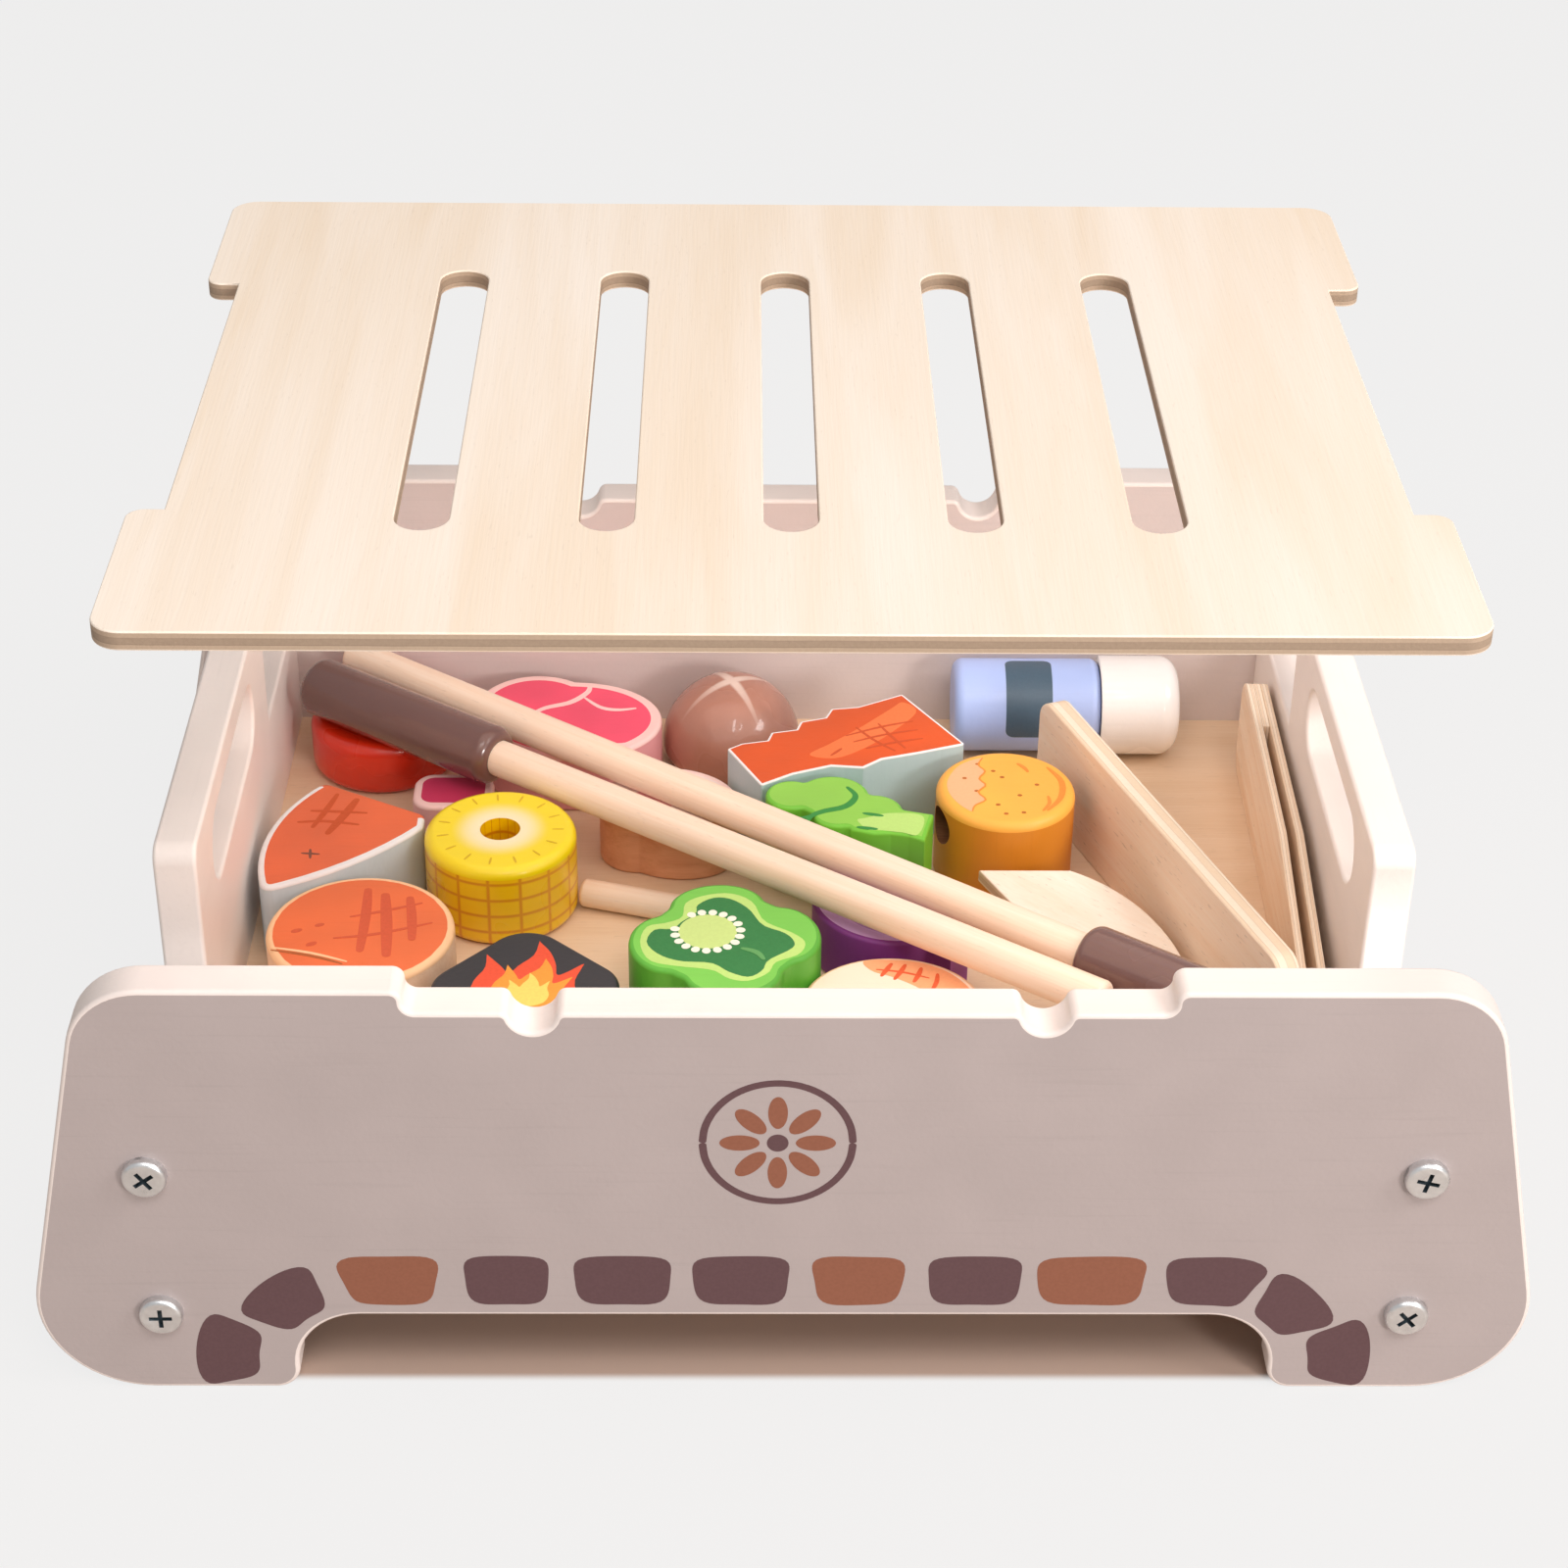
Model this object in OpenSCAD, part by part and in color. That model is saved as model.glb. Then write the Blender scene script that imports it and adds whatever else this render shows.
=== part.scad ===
// Wooden toy barbecue grill: a low open box with an arched front, a lift-off slotted
// grill plate, and the play food and tools that are stored in it.
// X runs to the right, Y to the back, Z up. The origin is on the table, under the middle.

/* [Box] */
// Widest width of the front and back panels
panel_w = 300; // [292:1:308]
// Height of the front and back panels
panel_h = 100; // [96:1:106]
// Thickness of every painted board
board_t = 9; // [8:0.5:10]
// Clear depth between the front and back panels
inner_depth = 200; // [196:1:210]
// Clear width between the side panels
inner_w = 241; // [238:1:244]
// Radius of a panel's lower corners
foot_r = 22; // [18:1:23]
// Radius of a panel's upper corners
top_r = 15; // [10:1:17]
// How far a panel leans in from its widest point to its upper corner
lean = 12.7; // [8:0.1:16]
// Height of the arch under a panel
arch_h = 19.5; // [14:0.5:22]
// Half of the arch's flat top
arch_half = 85.5; // [70:0.5:88]
// Radius of the arch's shoulders
arch_r = 13; // [9:0.5:13]

/* [Panel top] */
// Half of the lowered stretch of a panel's top edge
recess_half = 73; // [60:0.5:80]
// Depth of the lowered stretch
recess_depth = 5; // [3:0.5:7]
// Distance of a skewer notch from the middle
notch_x = 48.6; // [40:0.2:56]
// Radius of a skewer notch
notch_r = 4.6; // [4.4:0.1:5.5]
// Radius that rounds the lips of a skewer notch
lip_r = 2; // [1:0.5:3]

/* [Side panels] */
// Height of the lower edge of a side panel above the table
side_low = 12; // [10:0.5:14]
// Height of the shoulders, where the grill plate sits
seat_z = 62; // [60:0.5:64]
// Height of the raised ears
ear_z = 92.8; // [90:0.2:96]
// Length of an ear along the box
ear_len = 102; // [90:1:104]
// Radius of an ear's upper corners
ear_r = 4; // [2:0.5:8]
// Length of the hand slot in an ear
slot_len = 64; // [56:1:74]
// Width of the hand slot
slot_w = 16; // [14:0.5:18]
// Height of the hand slot's middle
slot_z = 77.5; // [76:0.5:80]

/* [Floor and screws] */
// Height of the floor board's upper face
floor_z = 32.6; // [30:0.2:36]
// Thickness of the floor board
floor_t = 4; // [3:0.5:5]
// Depth of the grooves that hold the floor board
groove = 3; // [2:0.5:4]
// Height of the lower and of the upper screws
screw_z = [20.5, 55.9];
// Screw shank diameter
screw_d = 4; // [3.5:0.1:4.5]
// Screw length under the head
screw_len = 30; // [25:1:35]
// Screw head diameter
head_d = 8.8; // [8:0.1:9.5]
// Screw head height
head_h = 2.2; // [1.8:0.1:2.6]

/* [Grill plate] */
// Width of the grill plate
plate_w = 252; // [248:1:256]
// Thickness of the grill plate
plate_t = 4; // [3:0.5:5]
// Gap between the plate and each panel
plate_gap = 0.6; // [0.4:0.1:1]
// Play between the plate and each ear
ear_gap = 1.5; // [1:0.1:2]
// Radius of the plate's corners
plate_r = 6; // [4:0.5:8]
// Number of slots in the plate
slots = 5; // [3:2:5]
// Distance between the slots
slot_pitch = 35; // [32:0.5:36]
// Width of a slot
plate_slot_w = 10.5; // [9:0.5:12]
// Length of a slot
plate_slot_len = 121; // [100:1:130]
// How far the plate is lifted off its seat as drawn
lift = 106; // [60:1:120]

/* [Play food and tools] */
// Diameter of the skewer rods
rod_d = 8.6; // [8:0.1:9]
// Diameter of the skewer grips
grip_d = 14.4; // [13:0.1:14.6]
// Height of the skewers' middle line
rod_z = 54.2; // [53.8:0.1:54.4]
// Radius of the corn slice
corn_r = 17.4; // [16:0.1:17.5]
// Radius of the skewer holes in the food
hole_r = 4.6; // [4.5:0.1:4.8]
// Thickness of the plywood tools
ply_t = 4; // [3:0.5:4.5]

/* [Hidden] */
$fn = 96;

cream = "#f6ece4";
greige = "#bfb0a9";
birch = "#f0d9bd";
brown = "#76564f";
eps = 0.01;

half_w = panel_w / 2;
half_d = inner_depth / 2;
half_in = inner_w / 2;
side_x = half_in + board_t / 2;
foot_c = [half_w - foot_r, foot_r];
top_c = [half_w - lean - top_r, panel_h - top_r];
recess_z = panel_h - recess_depth;
fillet = 2.4;
foot_flare = 5;
plate_d = inner_depth - 2 * plate_gap;
plate_lip_r = 3.5;
waist_w = inner_w - 2 * ear_gap;
notch_len = ear_len + 2 * ear_gap;
pilot = screw_len - board_t;
food_top = seat_z - 0.4;

// The straight side of a panel touches the lower and the upper corner circle
function side_angle() = let (d = foot_c - top_c)
    acos((top_r - foot_r) / norm(d)) + atan2(d[1], d[0]);
function polar(c, r, a) = c + r * [cos(a), sin(a)];
function mirrored(pts) = concat(pts, [for (i = [len(pts) - 1:-1:0]) [-pts[i][0], pts[i][1]]]);

// A rectangle with true round corners, centred
module round_rect(w, d, r) {
    square([w - 2 * r, d], center = true);
    square([w, d - 2 * r], center = true);
    for (x = [-1, 1], y = [-1, 1]) translate([x * (w / 2 - r), y * (d / 2 - r)]) circle(r);
}

// A slot with round ends, centred, long way along X
module obround(len, w) {
    square([len - w, w], center = true);
    for (x = [-1, 1]) translate([x * (len - w) / 2, 0]) circle(w / 2);
}

// What a round inner corner adds, or a round outer corner takes away, with its corner at [0, 0]
module spandrel(r) {
    difference() {
        translate([-eps, -eps]) square(r + eps);
        translate([r, r]) circle(r);
    }
}

// The outline of the front and back panels, X across and Y up
module panel_blank() {
    a = side_angle();
    polygon(mirrored([[0, 0], [foot_c[0], 0], polar(foot_c, foot_r, a), polar(top_c, top_r, a),
        [top_c[0], panel_h], [0, panel_h]]));
    for (x = [-1, 1]) {
        translate([x * foot_c[0], foot_c[1]]) circle(foot_r);
        translate([x * top_c[0], top_c[1]]) circle(top_r);
    }
}

// The arch between the feet, with round shoulders and feet that flare at the table
module arch_cut() {
    wide = arch_half + arch_r;
    translate([-arch_half, -1]) square([2 * arch_half, arch_h + 1]);
    translate([-wide, -1]) square([2 * wide, arch_h - arch_r + 1]);
    for (x = [-1, 1]) {
        translate([x * arch_half, arch_h - arch_r]) circle(arch_r);
        translate([x * wide, 0]) mirror([x > 0 ? 0 : 1, 0]) {
            spandrel(foot_flare);
            translate([-eps, -1]) square([foot_flare, 1 + eps]);
        }
    }
}

// A round notch in an edge at Y = 0, its lips rounded over into the edge
module notch_cut() {
    lip_x = sqrt(pow(notch_r + lip_r, 2) - lip_r * lip_r);
    circle(notch_r);
    for (s = [-1, 1]) difference() {
        polygon([[0, 0], [s * lip_x, eps], [s * lip_x, -lip_r]]);
        translate([s * lip_x, -lip_r]) circle(lip_r);
    }
}

// The lowered top edge with two skewer notches
module recess_cut() {
    translate([0, recess_z + recess_depth]) round_rect(2 * recess_half, 2 * recess_depth, fillet);
    for (x = [-1, 1]) {
        translate([x * recess_half, panel_h]) mirror([x > 0 ? 0 : 1, 0]) mirror([0, 1]) spandrel(fillet);
        translate([x * notch_x, recess_z]) notch_cut();
    }
}

// A panel standing in the XZ plane, its outer face at Y = 0 and its body behind it
module panel() {
    difference() {
        rotate([90, 0, 0]) mirror([0, 0, 1]) linear_extrude(board_t) difference() {
            panel_blank();
            arch_cut();
            recess_cut();
            for (x = [-1, 1], z = screw_z) translate([x * side_x, z]) circle(screw_d / 2 + 0.1);
        }
        translate([-half_in - groove, board_t - groove, floor_z - floor_t])
            cube([inner_w + 2 * groove, groove + 1, floor_t]);
    }
}

module front_panel() {
    color(greige) translate([0, -half_d - board_t, 0]) panel();
}

module back_panel() {
    color(greige) rotate(180) translate([0, -half_d - board_t, 0]) panel();
}

// Profile of a side panel, X along the box and Y up
module side_profile() {
    difference() {
        union() {
            translate([-half_d, side_low]) square([inner_depth, seat_z - side_low]);
            translate([-ear_len / 2, side_low]) square([ear_len, ear_z - ear_r - side_low]);
            translate([0, ear_z - 2 * ear_r]) round_rect(ear_len, 4 * ear_r, ear_r);
        }
        translate([0, slot_z]) obround(slot_len, slot_w);
    }
}

// The right side panel, its inner face towards the middle
module side_panel() {
    difference() {
        translate([half_in, 0, 0]) rotate([90, 0, 90]) linear_extrude(board_t) side_profile();
        translate([half_in - 1, -half_d - 1, floor_z - floor_t])
            cube([groove + 1, inner_depth + 2, floor_t]);
        for (s = [-1, 1], z = screw_z) translate([side_x, s * half_d, z])
            rotate([s * 90, 0, 0]) translate([0, 0, -1]) cylinder(r = screw_d / 2, h = pilot + 1);
    }
}

module side_panel_right() {
    color(cream) side_panel();
}

module side_panel_left() {
    color(cream) mirror([1, 0, 0]) side_panel();
}

module floor_board() {
    color(birch) translate([0, 0, floor_z - floor_t / 2])
        cube([inner_w + 2 * groove, inner_depth + 2 * groove, floor_t], center = true);
}

// One pan head screw along Z, its head above the origin, with a cross recess
cross_size = [4.6, 0.9, 2.4];

module screw() {
    dome = head_h * 0.45;
    difference() {
        union() {
            translate([0, 0, -screw_len]) cylinder(d = screw_d, h = screw_len + eps);
            rotate_extrude() {
                square([head_d / 2, head_h - dome]);
                square([head_d / 2 - dome, head_h]);
                translate([head_d / 2 - dome, head_h - dome]) circle(dome);
            }
        }
        for (a = [0, 90]) rotate(a) translate([0, 0, head_h]) cube(cross_size, center = true);
    }
}

module panel_screws() {
    for (x = [-1, 1], z = screw_z) translate([x * side_x, -half_d - board_t, z])
        rotate([90, 0, 0]) rotate(x * 20 + z) screw();
}

module front_screws() {
    color("silver") panel_screws();
}

module back_screws() {
    color("silver") rotate(180) panel_screws();
}

// The outline of the grill plate: two wide ends, a waist between the ears, and the slots
module plate_outline() {
    end_d = (plate_d - notch_len) / 2;
    difference() {
        union() {
            square([waist_w, plate_d], center = true);
            for (y = [-1, 1]) translate([0, y * (plate_d - end_d) / 2]) {
                round_rect(plate_w, end_d, plate_lip_r);
                square([plate_w - 2 * plate_r, end_d], center = true);
            }
        }
        for (x = [-1, 1], y = [-1, 1]) translate([x * plate_w / 2, y * plate_d / 2])
            mirror([x > 0 ? 1 : 0, 0]) mirror([0, y > 0 ? 1 : 0]) spandrel(plate_r);
        for (i = [0:slots - 1]) translate([(i - (slots - 1) / 2) * slot_pitch, 0])
            rotate(90) obround(plate_slot_len, plate_slot_w);
    }
}

module grill_plate() {
    color(birch) translate([0, 0, seat_z + lift]) linear_extrude(plate_t) plate_outline();
}

// A rod along Z from the origin up, with rounded ends
module rod(d, len, r = 1.5) {
    rotate_extrude() {
        square([d / 2 - r, len]);
        translate([0, r]) square([d / 2, len - 2 * r]);
        for (z = [r, len - r]) translate([d / 2 - r, z]) circle(r, $fn = 48);
    }
}

// Lays what is drawn along Z from point a towards point b, at the height of the skewers
module lay(a, b, z = rod_z) {
    translate([a[0], a[1], z]) rotate(atan2(b[1] - a[1], b[0] - a[0])) rotate([0, 90, 0]) children();
}

front_grip_end = [-113.5, 80.1];
front_rod_end = [68, -49.5];
rear_rod_end = [-106, 94.5];
rear_grip_end = [98, -56.6];
grip_len = 58;
rear_grip_len = 41;
socket = 16;

// A grip along Z from the origin up, with a blind hole in its far end
module grip(len) {
    difference() {
        rod(grip_d, len, 3);
        translate([0, 0, len - socket]) cylinder(d = rod_d, h = socket + 1);
    }
}

module front_skewer_grip() {
    color(brown) lay(front_grip_end, front_rod_end) grip(grip_len);
}

module front_skewer_rod() {
    start = grip_len - socket;
    color(birch) lay(front_grip_end, front_rod_end) translate([0, 0, start])
        rod(rod_d, norm(front_rod_end - front_grip_end) - start);
}

module rear_skewer_grip() {
    color(brown) lay(rear_grip_end, rear_rod_end) grip(rear_grip_len);
}

module rear_skewer_rod() {
    start = rear_grip_len - socket;
    color(birch) lay(rear_grip_end, rear_rod_end) translate([0, 0, start])
        rod(rod_d, norm(rear_rod_end - rear_grip_end) - start);
}

short_rod_ends = [[-45.8, 17.3], [-6, 5.4]];
short_rod_d = 6.6;

module short_rod() {
    color(birch) lay(short_rod_ends[0], short_rod_ends[1], floor_z + short_rod_d / 2)
        rod(short_rod_d, norm(short_rod_ends[1] - short_rod_ends[0]), 1);
}

// One arm of the tongs seen from its edge: it leaves the spacer straight, then bows out
tongs_back = [116.6, 79];
tongs_turn = -1;
tongs_len = 128;
tongs_w = 26;
arm_t = 1.9;
tongs_open = 0.4;
spacer_len = 24;
spacer_t = 1.6;
function bow(t) = tongs_open * (1 - cos(180 * t)) / 2;
function arm_line(n) = [for (i = [0:n]) let (t = i / n)
    [spacer_t / 2 + bow(t), -spacer_len - t * (tongs_len - spacer_len)]];

module arm_edge() {
    line = arm_line(14);
    last = len(line) - 1;
    polygon(concat([[spacer_t / 2, 0]], line,
        [for (i = [last:-1:0]) line[i] + [arm_t, 0]], [[spacer_t / 2 + arm_t, 0]]));
}

// The broad side of the tongs: full width at the back, tapering to a round tip
module tongs_side() {
    tip = 8;
    back_r = 6;
    difference() {
        polygon([[0, 0], [0, tongs_w], [-tongs_len * 0.55, tongs_w], [-tongs_len + tip, 2 * tip],
            [-tongs_len + tip, 0]]);
        mirror([1, 0]) spandrel(back_r);
        translate([0, tongs_w]) mirror([1, 0]) mirror([0, 1]) spandrel(back_r);
    }
    translate([-tongs_len + tip, tip]) circle(tip);
}

// Stands what is drawn along Y on the floor board, cut to the broad side's outline
module tongs_frame() {
    translate([tongs_back[0], tongs_back[1], floor_z]) rotate(tongs_turn) intersection() {
        children();
        rotate([90, 0, 90]) linear_extrude(20, center = true) tongs_side();
    }
}

module tongs_arms() {
    color(birch) tongs_frame() for (s = [0, 1]) mirror([s, 0, 0]) linear_extrude(tongs_w) arm_edge();
}

module tongs_spacer() {
    color(birch) tongs_frame() translate([-spacer_t / 2, -spacer_len, 0])
        cube([spacer_t, spacer_len, tongs_w]);
}

// The serving board stands on its long edge, its corners rounded
board_ends = [[65.2, 64.5], [107.3, -46.6]];
serving_t = 5.5;
board_w = food_top - floor_z;
board_r = 5.5;

module serving_board() {
    d = board_ends[1] - board_ends[0];
    color(birch) translate([board_ends[0][0], board_ends[0][1], floor_z])
        rotate([90, 0, atan2(d[1], d[0])]) linear_extrude(serving_t, center = true) difference() {
            square([norm(d), board_w]);
            translate([0, board_w]) mirror([0, 1]) spandrel(board_r);
            translate([norm(d), board_w]) mirror([1, 0]) mirror([0, 1]) spandrel(board_r);
        }
}

// The turner blade has straight sides and one round one, and leans on the potato half
blade_tilt = 15;
blade_low = [74, -29.5];
blade_tip = [45, 12.5];
blade_right = [[95, 12.5], [92, -16]];
blade_arc = [49.3, -26];
blade_arc_r = 42;

module blade_outline() {
    intersection() {
        polygon(concat([blade_tip], blade_right, [blade_low]));
        translate(blade_arc) circle(blade_arc_r);
    }
}

module turner_blade() {
    color(birch) translate([0, blade_low[1], floor_z + 0.1]) rotate([blade_tilt, 0, 0])
        translate([0, -blade_low[1], 0]) linear_extrude(ply_t) blade_outline();
}

// The shaker lies along X with its cap to the right
shaker_at = [43.4, 87.2];
shaker_r = 11.5;
cap_r = 12.3;
shaker_len = 36.2;
cap_len = 19.6;
shaker_rim = 2.5;
neck_r = 9;
neck_len = 7;
cap_dome = 5;

module lay_shaker() {
    translate([shaker_at[0], shaker_at[1], floor_z + cap_r]) rotate([0, 90, 0]) children();
}

module salt_shaker_body() {
    color("#aec3ea") lay_shaker() union() {
        rod(2 * shaker_r, shaker_len, shaker_rim);
        translate([0, 0, shaker_len - 1]) cylinder(r = neck_r, h = neck_len + 1);
    }
}

module salt_shaker_cap() {
    r = cap_dome;
    color(cream) lay_shaker() translate([0, 0, shaker_len]) difference() {
        rotate_extrude() {
            square([cap_r, cap_len - r]);
            square([cap_r - r, cap_len]);
            translate([cap_r - r, cap_len - r]) circle(r);
        }
        translate([0, 0, -1]) cylinder(r = neck_r, h = neck_len + 1);
    }
}

// A flat piece of food: its outline extruded from the floor board up
module slice(h, at = [0, 0]) {
    translate([at[0], at[1], floor_z]) linear_extrude(h) children();
}

// A disc with rounded rims that lies on the floor board
module puck(r, h, rim, at) {
    translate([at[0], at[1], floor_z]) rod(2 * r, h, rim);
}

corn_at = [-64.2, 16.9];
corn_h = 21;
corn_rim = 2.5;

module corn_slice() {
    color("gold") difference() {
        puck(corn_r, corn_h, corn_rim, corn_at);
        translate([corn_at[0], corn_at[1], floor_z - 1]) cylinder(r = hole_r, h = corn_h + 2);
    }
}

// A cut of salmon: a straight cut side, closed by a round back and a wider arc below
steak_h = 19;
steak_back = [-73.4, 9.6];
steak_back_r = 45;
steak_below = [-148.2, 71.5];
steak_below_r = 83.3;
steak_corner = [-106.4, 39.3];
steak_slant = -28.9;
steak_right = -82.2;
steak_round = 2.5;

module salmon_steak() {
    reach = 100;
    color("#dd6a3d") slice(steak_h) offset(steak_round) offset(-steak_round) intersection() {
        translate(steak_back) circle(steak_back_r);
        translate(steak_below) circle(steak_below_r);
        translate(steak_corner) rotate(steak_slant) translate([-reach, -reach]) square([2 * reach, reach]);
        translate([steak_right - reach, -reach]) square([reach, 2 * reach]);
    }
}

// A long cut of salmon with a toothed upper edge and a wavy lower one
salmon_h = 24;
salmon_round = 0.7;
salmon_teeth = [[-12.5, 47], [-9, 49.6], [-3, 51], [-2, 54.5], [4, 56], [5, 59.5], [11, 61.5],
    [12.5, 65.5], [19, 66.5], [30, 72.5]];
salmon_foot = [[44, 49.5], [33, 45.5], [24, 42.6], [19.5, 38.8], [12, 39.6], [3, 36], [-4.5, 31]];

module salmon_slice() {
    color("#dd6a3d") slice(salmon_h) offset(salmon_round) offset(-salmon_round)
        polygon(concat(salmon_teeth, salmon_foot));
}

patty_r = 20.7;
patty_h = 17;
patty_rim = 1.2;
patty_at = [-92.9, -17.2];

module meat_patty() {
    color("#dd7045") puck(patty_r, patty_h, patty_rim, patty_at);
}

tomato_r = 17.8;
tomato_h = 14;
tomato_rim = 3;
tomato_at = [-97.3, 80.3];

module tomato_half() {
    color("#d8381c") puck(tomato_r, tomato_h, tomato_rim, tomato_at);
}

// A beef steak: a wide oval with a second lobe at its upper left
beef_at = [-50.5, 74.5];
beef_h = 15.4;
beef_r = 18;
beef_wide = 1.22;
beef_lobe = [-9, 6];
beef_lobe_r = 15;
beef_round = 6;

module beef_steak() {
    color("#e8566c") slice(beef_h, beef_at) offset(beef_round) offset(-beef_round) union() {
        scale([beef_wide, 1]) circle(beef_r);
        translate(beef_lobe) circle(beef_lobe_r);
    }
}

cube_at = [-77.5, 46.5];
cube_w = 19;
cube_d = 15;
cube_h = 12.5;
cube_r = 5;

module beef_cube() {
    color("#c94a60") slice(cube_h, cube_at) round_rect(cube_w, cube_d, cube_r);
}

// The mushroom cap is a dome on a short rounded rim
mushroom_at = [-11.5, 82];
mushroom_r = 17;
rim_h = 5;

module mushroom_cap() {
    color("#b07a68") translate([mushroom_at[0], mushroom_at[1], floor_z]) union() {
        translate([0, 0, rim_h]) intersection() {
            sphere(mushroom_r);
            cylinder(r = mushroom_r + 1, h = mushroom_r + 1);
        }
        rotate_extrude() {
            square([mushroom_r - rim_h, rim_h + 1]);
            intersection() {
                translate([mushroom_r - rim_h, rim_h]) circle(rim_h);
                square([mushroom_r, rim_h + eps]);
            }
        }
    }
}

// Broccoli seen from its side: a head of round lobes, each [x, y, radius], and a flared stem
broccoli_at = [12, 22];
broccoli_h = 24;
broccoli_round = 1.5;
broccoli_lobes = [[-9.5, 5.5, 6], [0, 5, 8.5], [9.5, -1, 6.5], [1, -2, 6]];
broccoli_stem = [[5, 4], [13, 0.2], [23, -2.6], [20.4, -13.6], [17, -11.6], [13, -10.6], [9, -10.8], [4, -9]];

module broccoli_floret() {
    color("#74b83c") slice(broccoli_h, broccoli_at) offset(-broccoli_round) offset(broccoli_round) union() {
        for (l = broccoli_lobes) translate([l[0], l[1]]) circle(l[2]);
        polygon(broccoli_stem);
    }
}

// The potato half has a skewer hole through its side, a little turned and above its middle
potato_at = [52.4, 31.6];
potato_r = 16.2;
potato_h = 23.5;
potato_rim = 2.2;
potato_hole_z = 16.1;
potato_hole_turn = 18;

module potato_half() {
    color("#eda33f") difference() {
        puck(potato_r, potato_h, potato_rim, potato_at);
        translate([potato_at[0], potato_at[1], floor_z + potato_hole_z]) rotate([0, 90, potato_hole_turn])
            cylinder(r = hole_r, h = 3 * potato_r, center = true);
    }
}

// An onion half: an oval, cut off flat where its root was
onion_at = [22, -4.4];
onion_h = 14.6;
onion_r = 13;
onion_long = 1.25;
onion_turn = -38;
onion_root = [12, -3.5];
onion_root_size = [10, 7];
onion_round = 3;

module onion_half() {
    color("#b99ad2") slice(onion_h, onion_at) offset(-onion_round) offset(onion_round) rotate(onion_turn) {
        scale([onion_long, 1]) circle(onion_r);
        translate(onion_root) square(onion_root_size);
    }
}

// A pepper slice: nearly a round square, with a lobe at each corner
pepper_at = [-12.6, -25.8];
pepper_h = 21;
pepper_r = 17;
pepper_lobes = 4;
pepper_lobe_r = 9.2;
pepper_lobe_out = 12.8;
pepper_lobe_shape = [0.9, 1.15];
pepper_turn = 8;
pepper_round = 4;

module pepper_slice() {
    color("#6dbb3d") slice(pepper_h, pepper_at) offset(-pepper_round) offset(pepper_round) union() {
        circle(pepper_r);
        for (i = [0:pepper_lobes - 1]) rotate(i * 360 / pepper_lobes + pepper_turn)
            translate([pepper_lobe_out, 0]) scale(pepper_lobe_shape) circle(pepper_lobe_r);
    }
}

charcoal_at = [-55.5, -38];
charcoal_h = 17;
charcoal_w = 34;
charcoal_r = 9;
charcoal_turn = 47;

module charcoal_block() {
    color("#2f2d31") slice(charcoal_h, charcoal_at) rotate(charcoal_turn)
        round_rect(charcoal_w, charcoal_w, charcoal_r);
}

// A ham slice: a slanted oval with a smaller lobe at its left
ham_at = [-25, 38.9];
ham_h = 16.4;
ham_r = 11.8;
ham_wide = 1.3;
ham_lobe = [-8, -3];
ham_lobe_r = 9;
ham_turn = -18;
ham_round = 3;

module ham_slice() {
    color("#f3b6b4") slice(ham_h, ham_at) rotate(ham_turn) offset(ham_round) offset(-ham_round) union() {
        scale([ham_wide, 1]) circle(ham_r);
        translate(ham_lobe) circle(ham_lobe_r);
    }
}

// A cut of chicken: a round body drawn out to one end
chicken_at = [23.5, -40.5];
chicken_h = 14.4;
chicken_r = 17;
chicken_wide = 1.15;
chicken_tail = [16, -10];
chicken_tail_r = 8;
chicken_round = 5;

module chicken_piece() {
    color("#f2cfa8") slice(chicken_h, chicken_at) offset(-chicken_round) offset(chicken_round) union() {
        scale([chicken_wide, 1]) circle(chicken_r);
        translate(chicken_tail) circle(chicken_tail_r);
    }
}

front_panel();
back_panel();
side_panel_left();
side_panel_right();
floor_board();
front_screws();
back_screws();
grill_plate();
front_skewer_rod();
front_skewer_grip();
rear_skewer_rod();
rear_skewer_grip();
short_rod();
tongs_arms();
tongs_spacer();
serving_board();
turner_blade();
salt_shaker_body();
salt_shaker_cap();
corn_slice();
salmon_steak();
salmon_slice();
meat_patty();
tomato_half();
beef_steak();
beef_cube();
mushroom_cap();
broccoli_floret();
potato_half();
onion_half();
pepper_slice();
charcoal_block();
ham_slice();
chicken_piece();
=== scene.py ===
import math
import random

import bmesh
import bpy
from mathutils import Matrix, Vector


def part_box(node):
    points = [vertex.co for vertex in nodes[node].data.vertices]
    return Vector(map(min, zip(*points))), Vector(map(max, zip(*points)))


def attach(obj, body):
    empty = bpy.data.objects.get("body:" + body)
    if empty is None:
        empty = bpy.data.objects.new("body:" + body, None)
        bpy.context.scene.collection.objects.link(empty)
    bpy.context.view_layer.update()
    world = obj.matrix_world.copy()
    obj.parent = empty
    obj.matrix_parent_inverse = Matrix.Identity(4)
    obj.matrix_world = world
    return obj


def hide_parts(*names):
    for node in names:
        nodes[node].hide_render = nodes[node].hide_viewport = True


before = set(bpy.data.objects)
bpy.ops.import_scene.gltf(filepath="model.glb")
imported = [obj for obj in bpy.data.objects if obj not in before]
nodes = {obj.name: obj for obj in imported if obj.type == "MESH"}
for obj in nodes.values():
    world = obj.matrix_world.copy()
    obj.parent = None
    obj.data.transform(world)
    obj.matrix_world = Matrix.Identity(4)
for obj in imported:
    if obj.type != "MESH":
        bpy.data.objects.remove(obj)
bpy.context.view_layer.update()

# Looks of a painted wooden toy grill: box, lifted plate, skewers, tools and play food.
# Sizes in the dictionaries are in millimetres unless a comment says otherwise, and "mm" turns them to metres.
scene = bpy.context.scene
mm = 0.001
flush = 0.01 * mm  # points closer to a plane than this lie in it
chance = random.Random(11)


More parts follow.
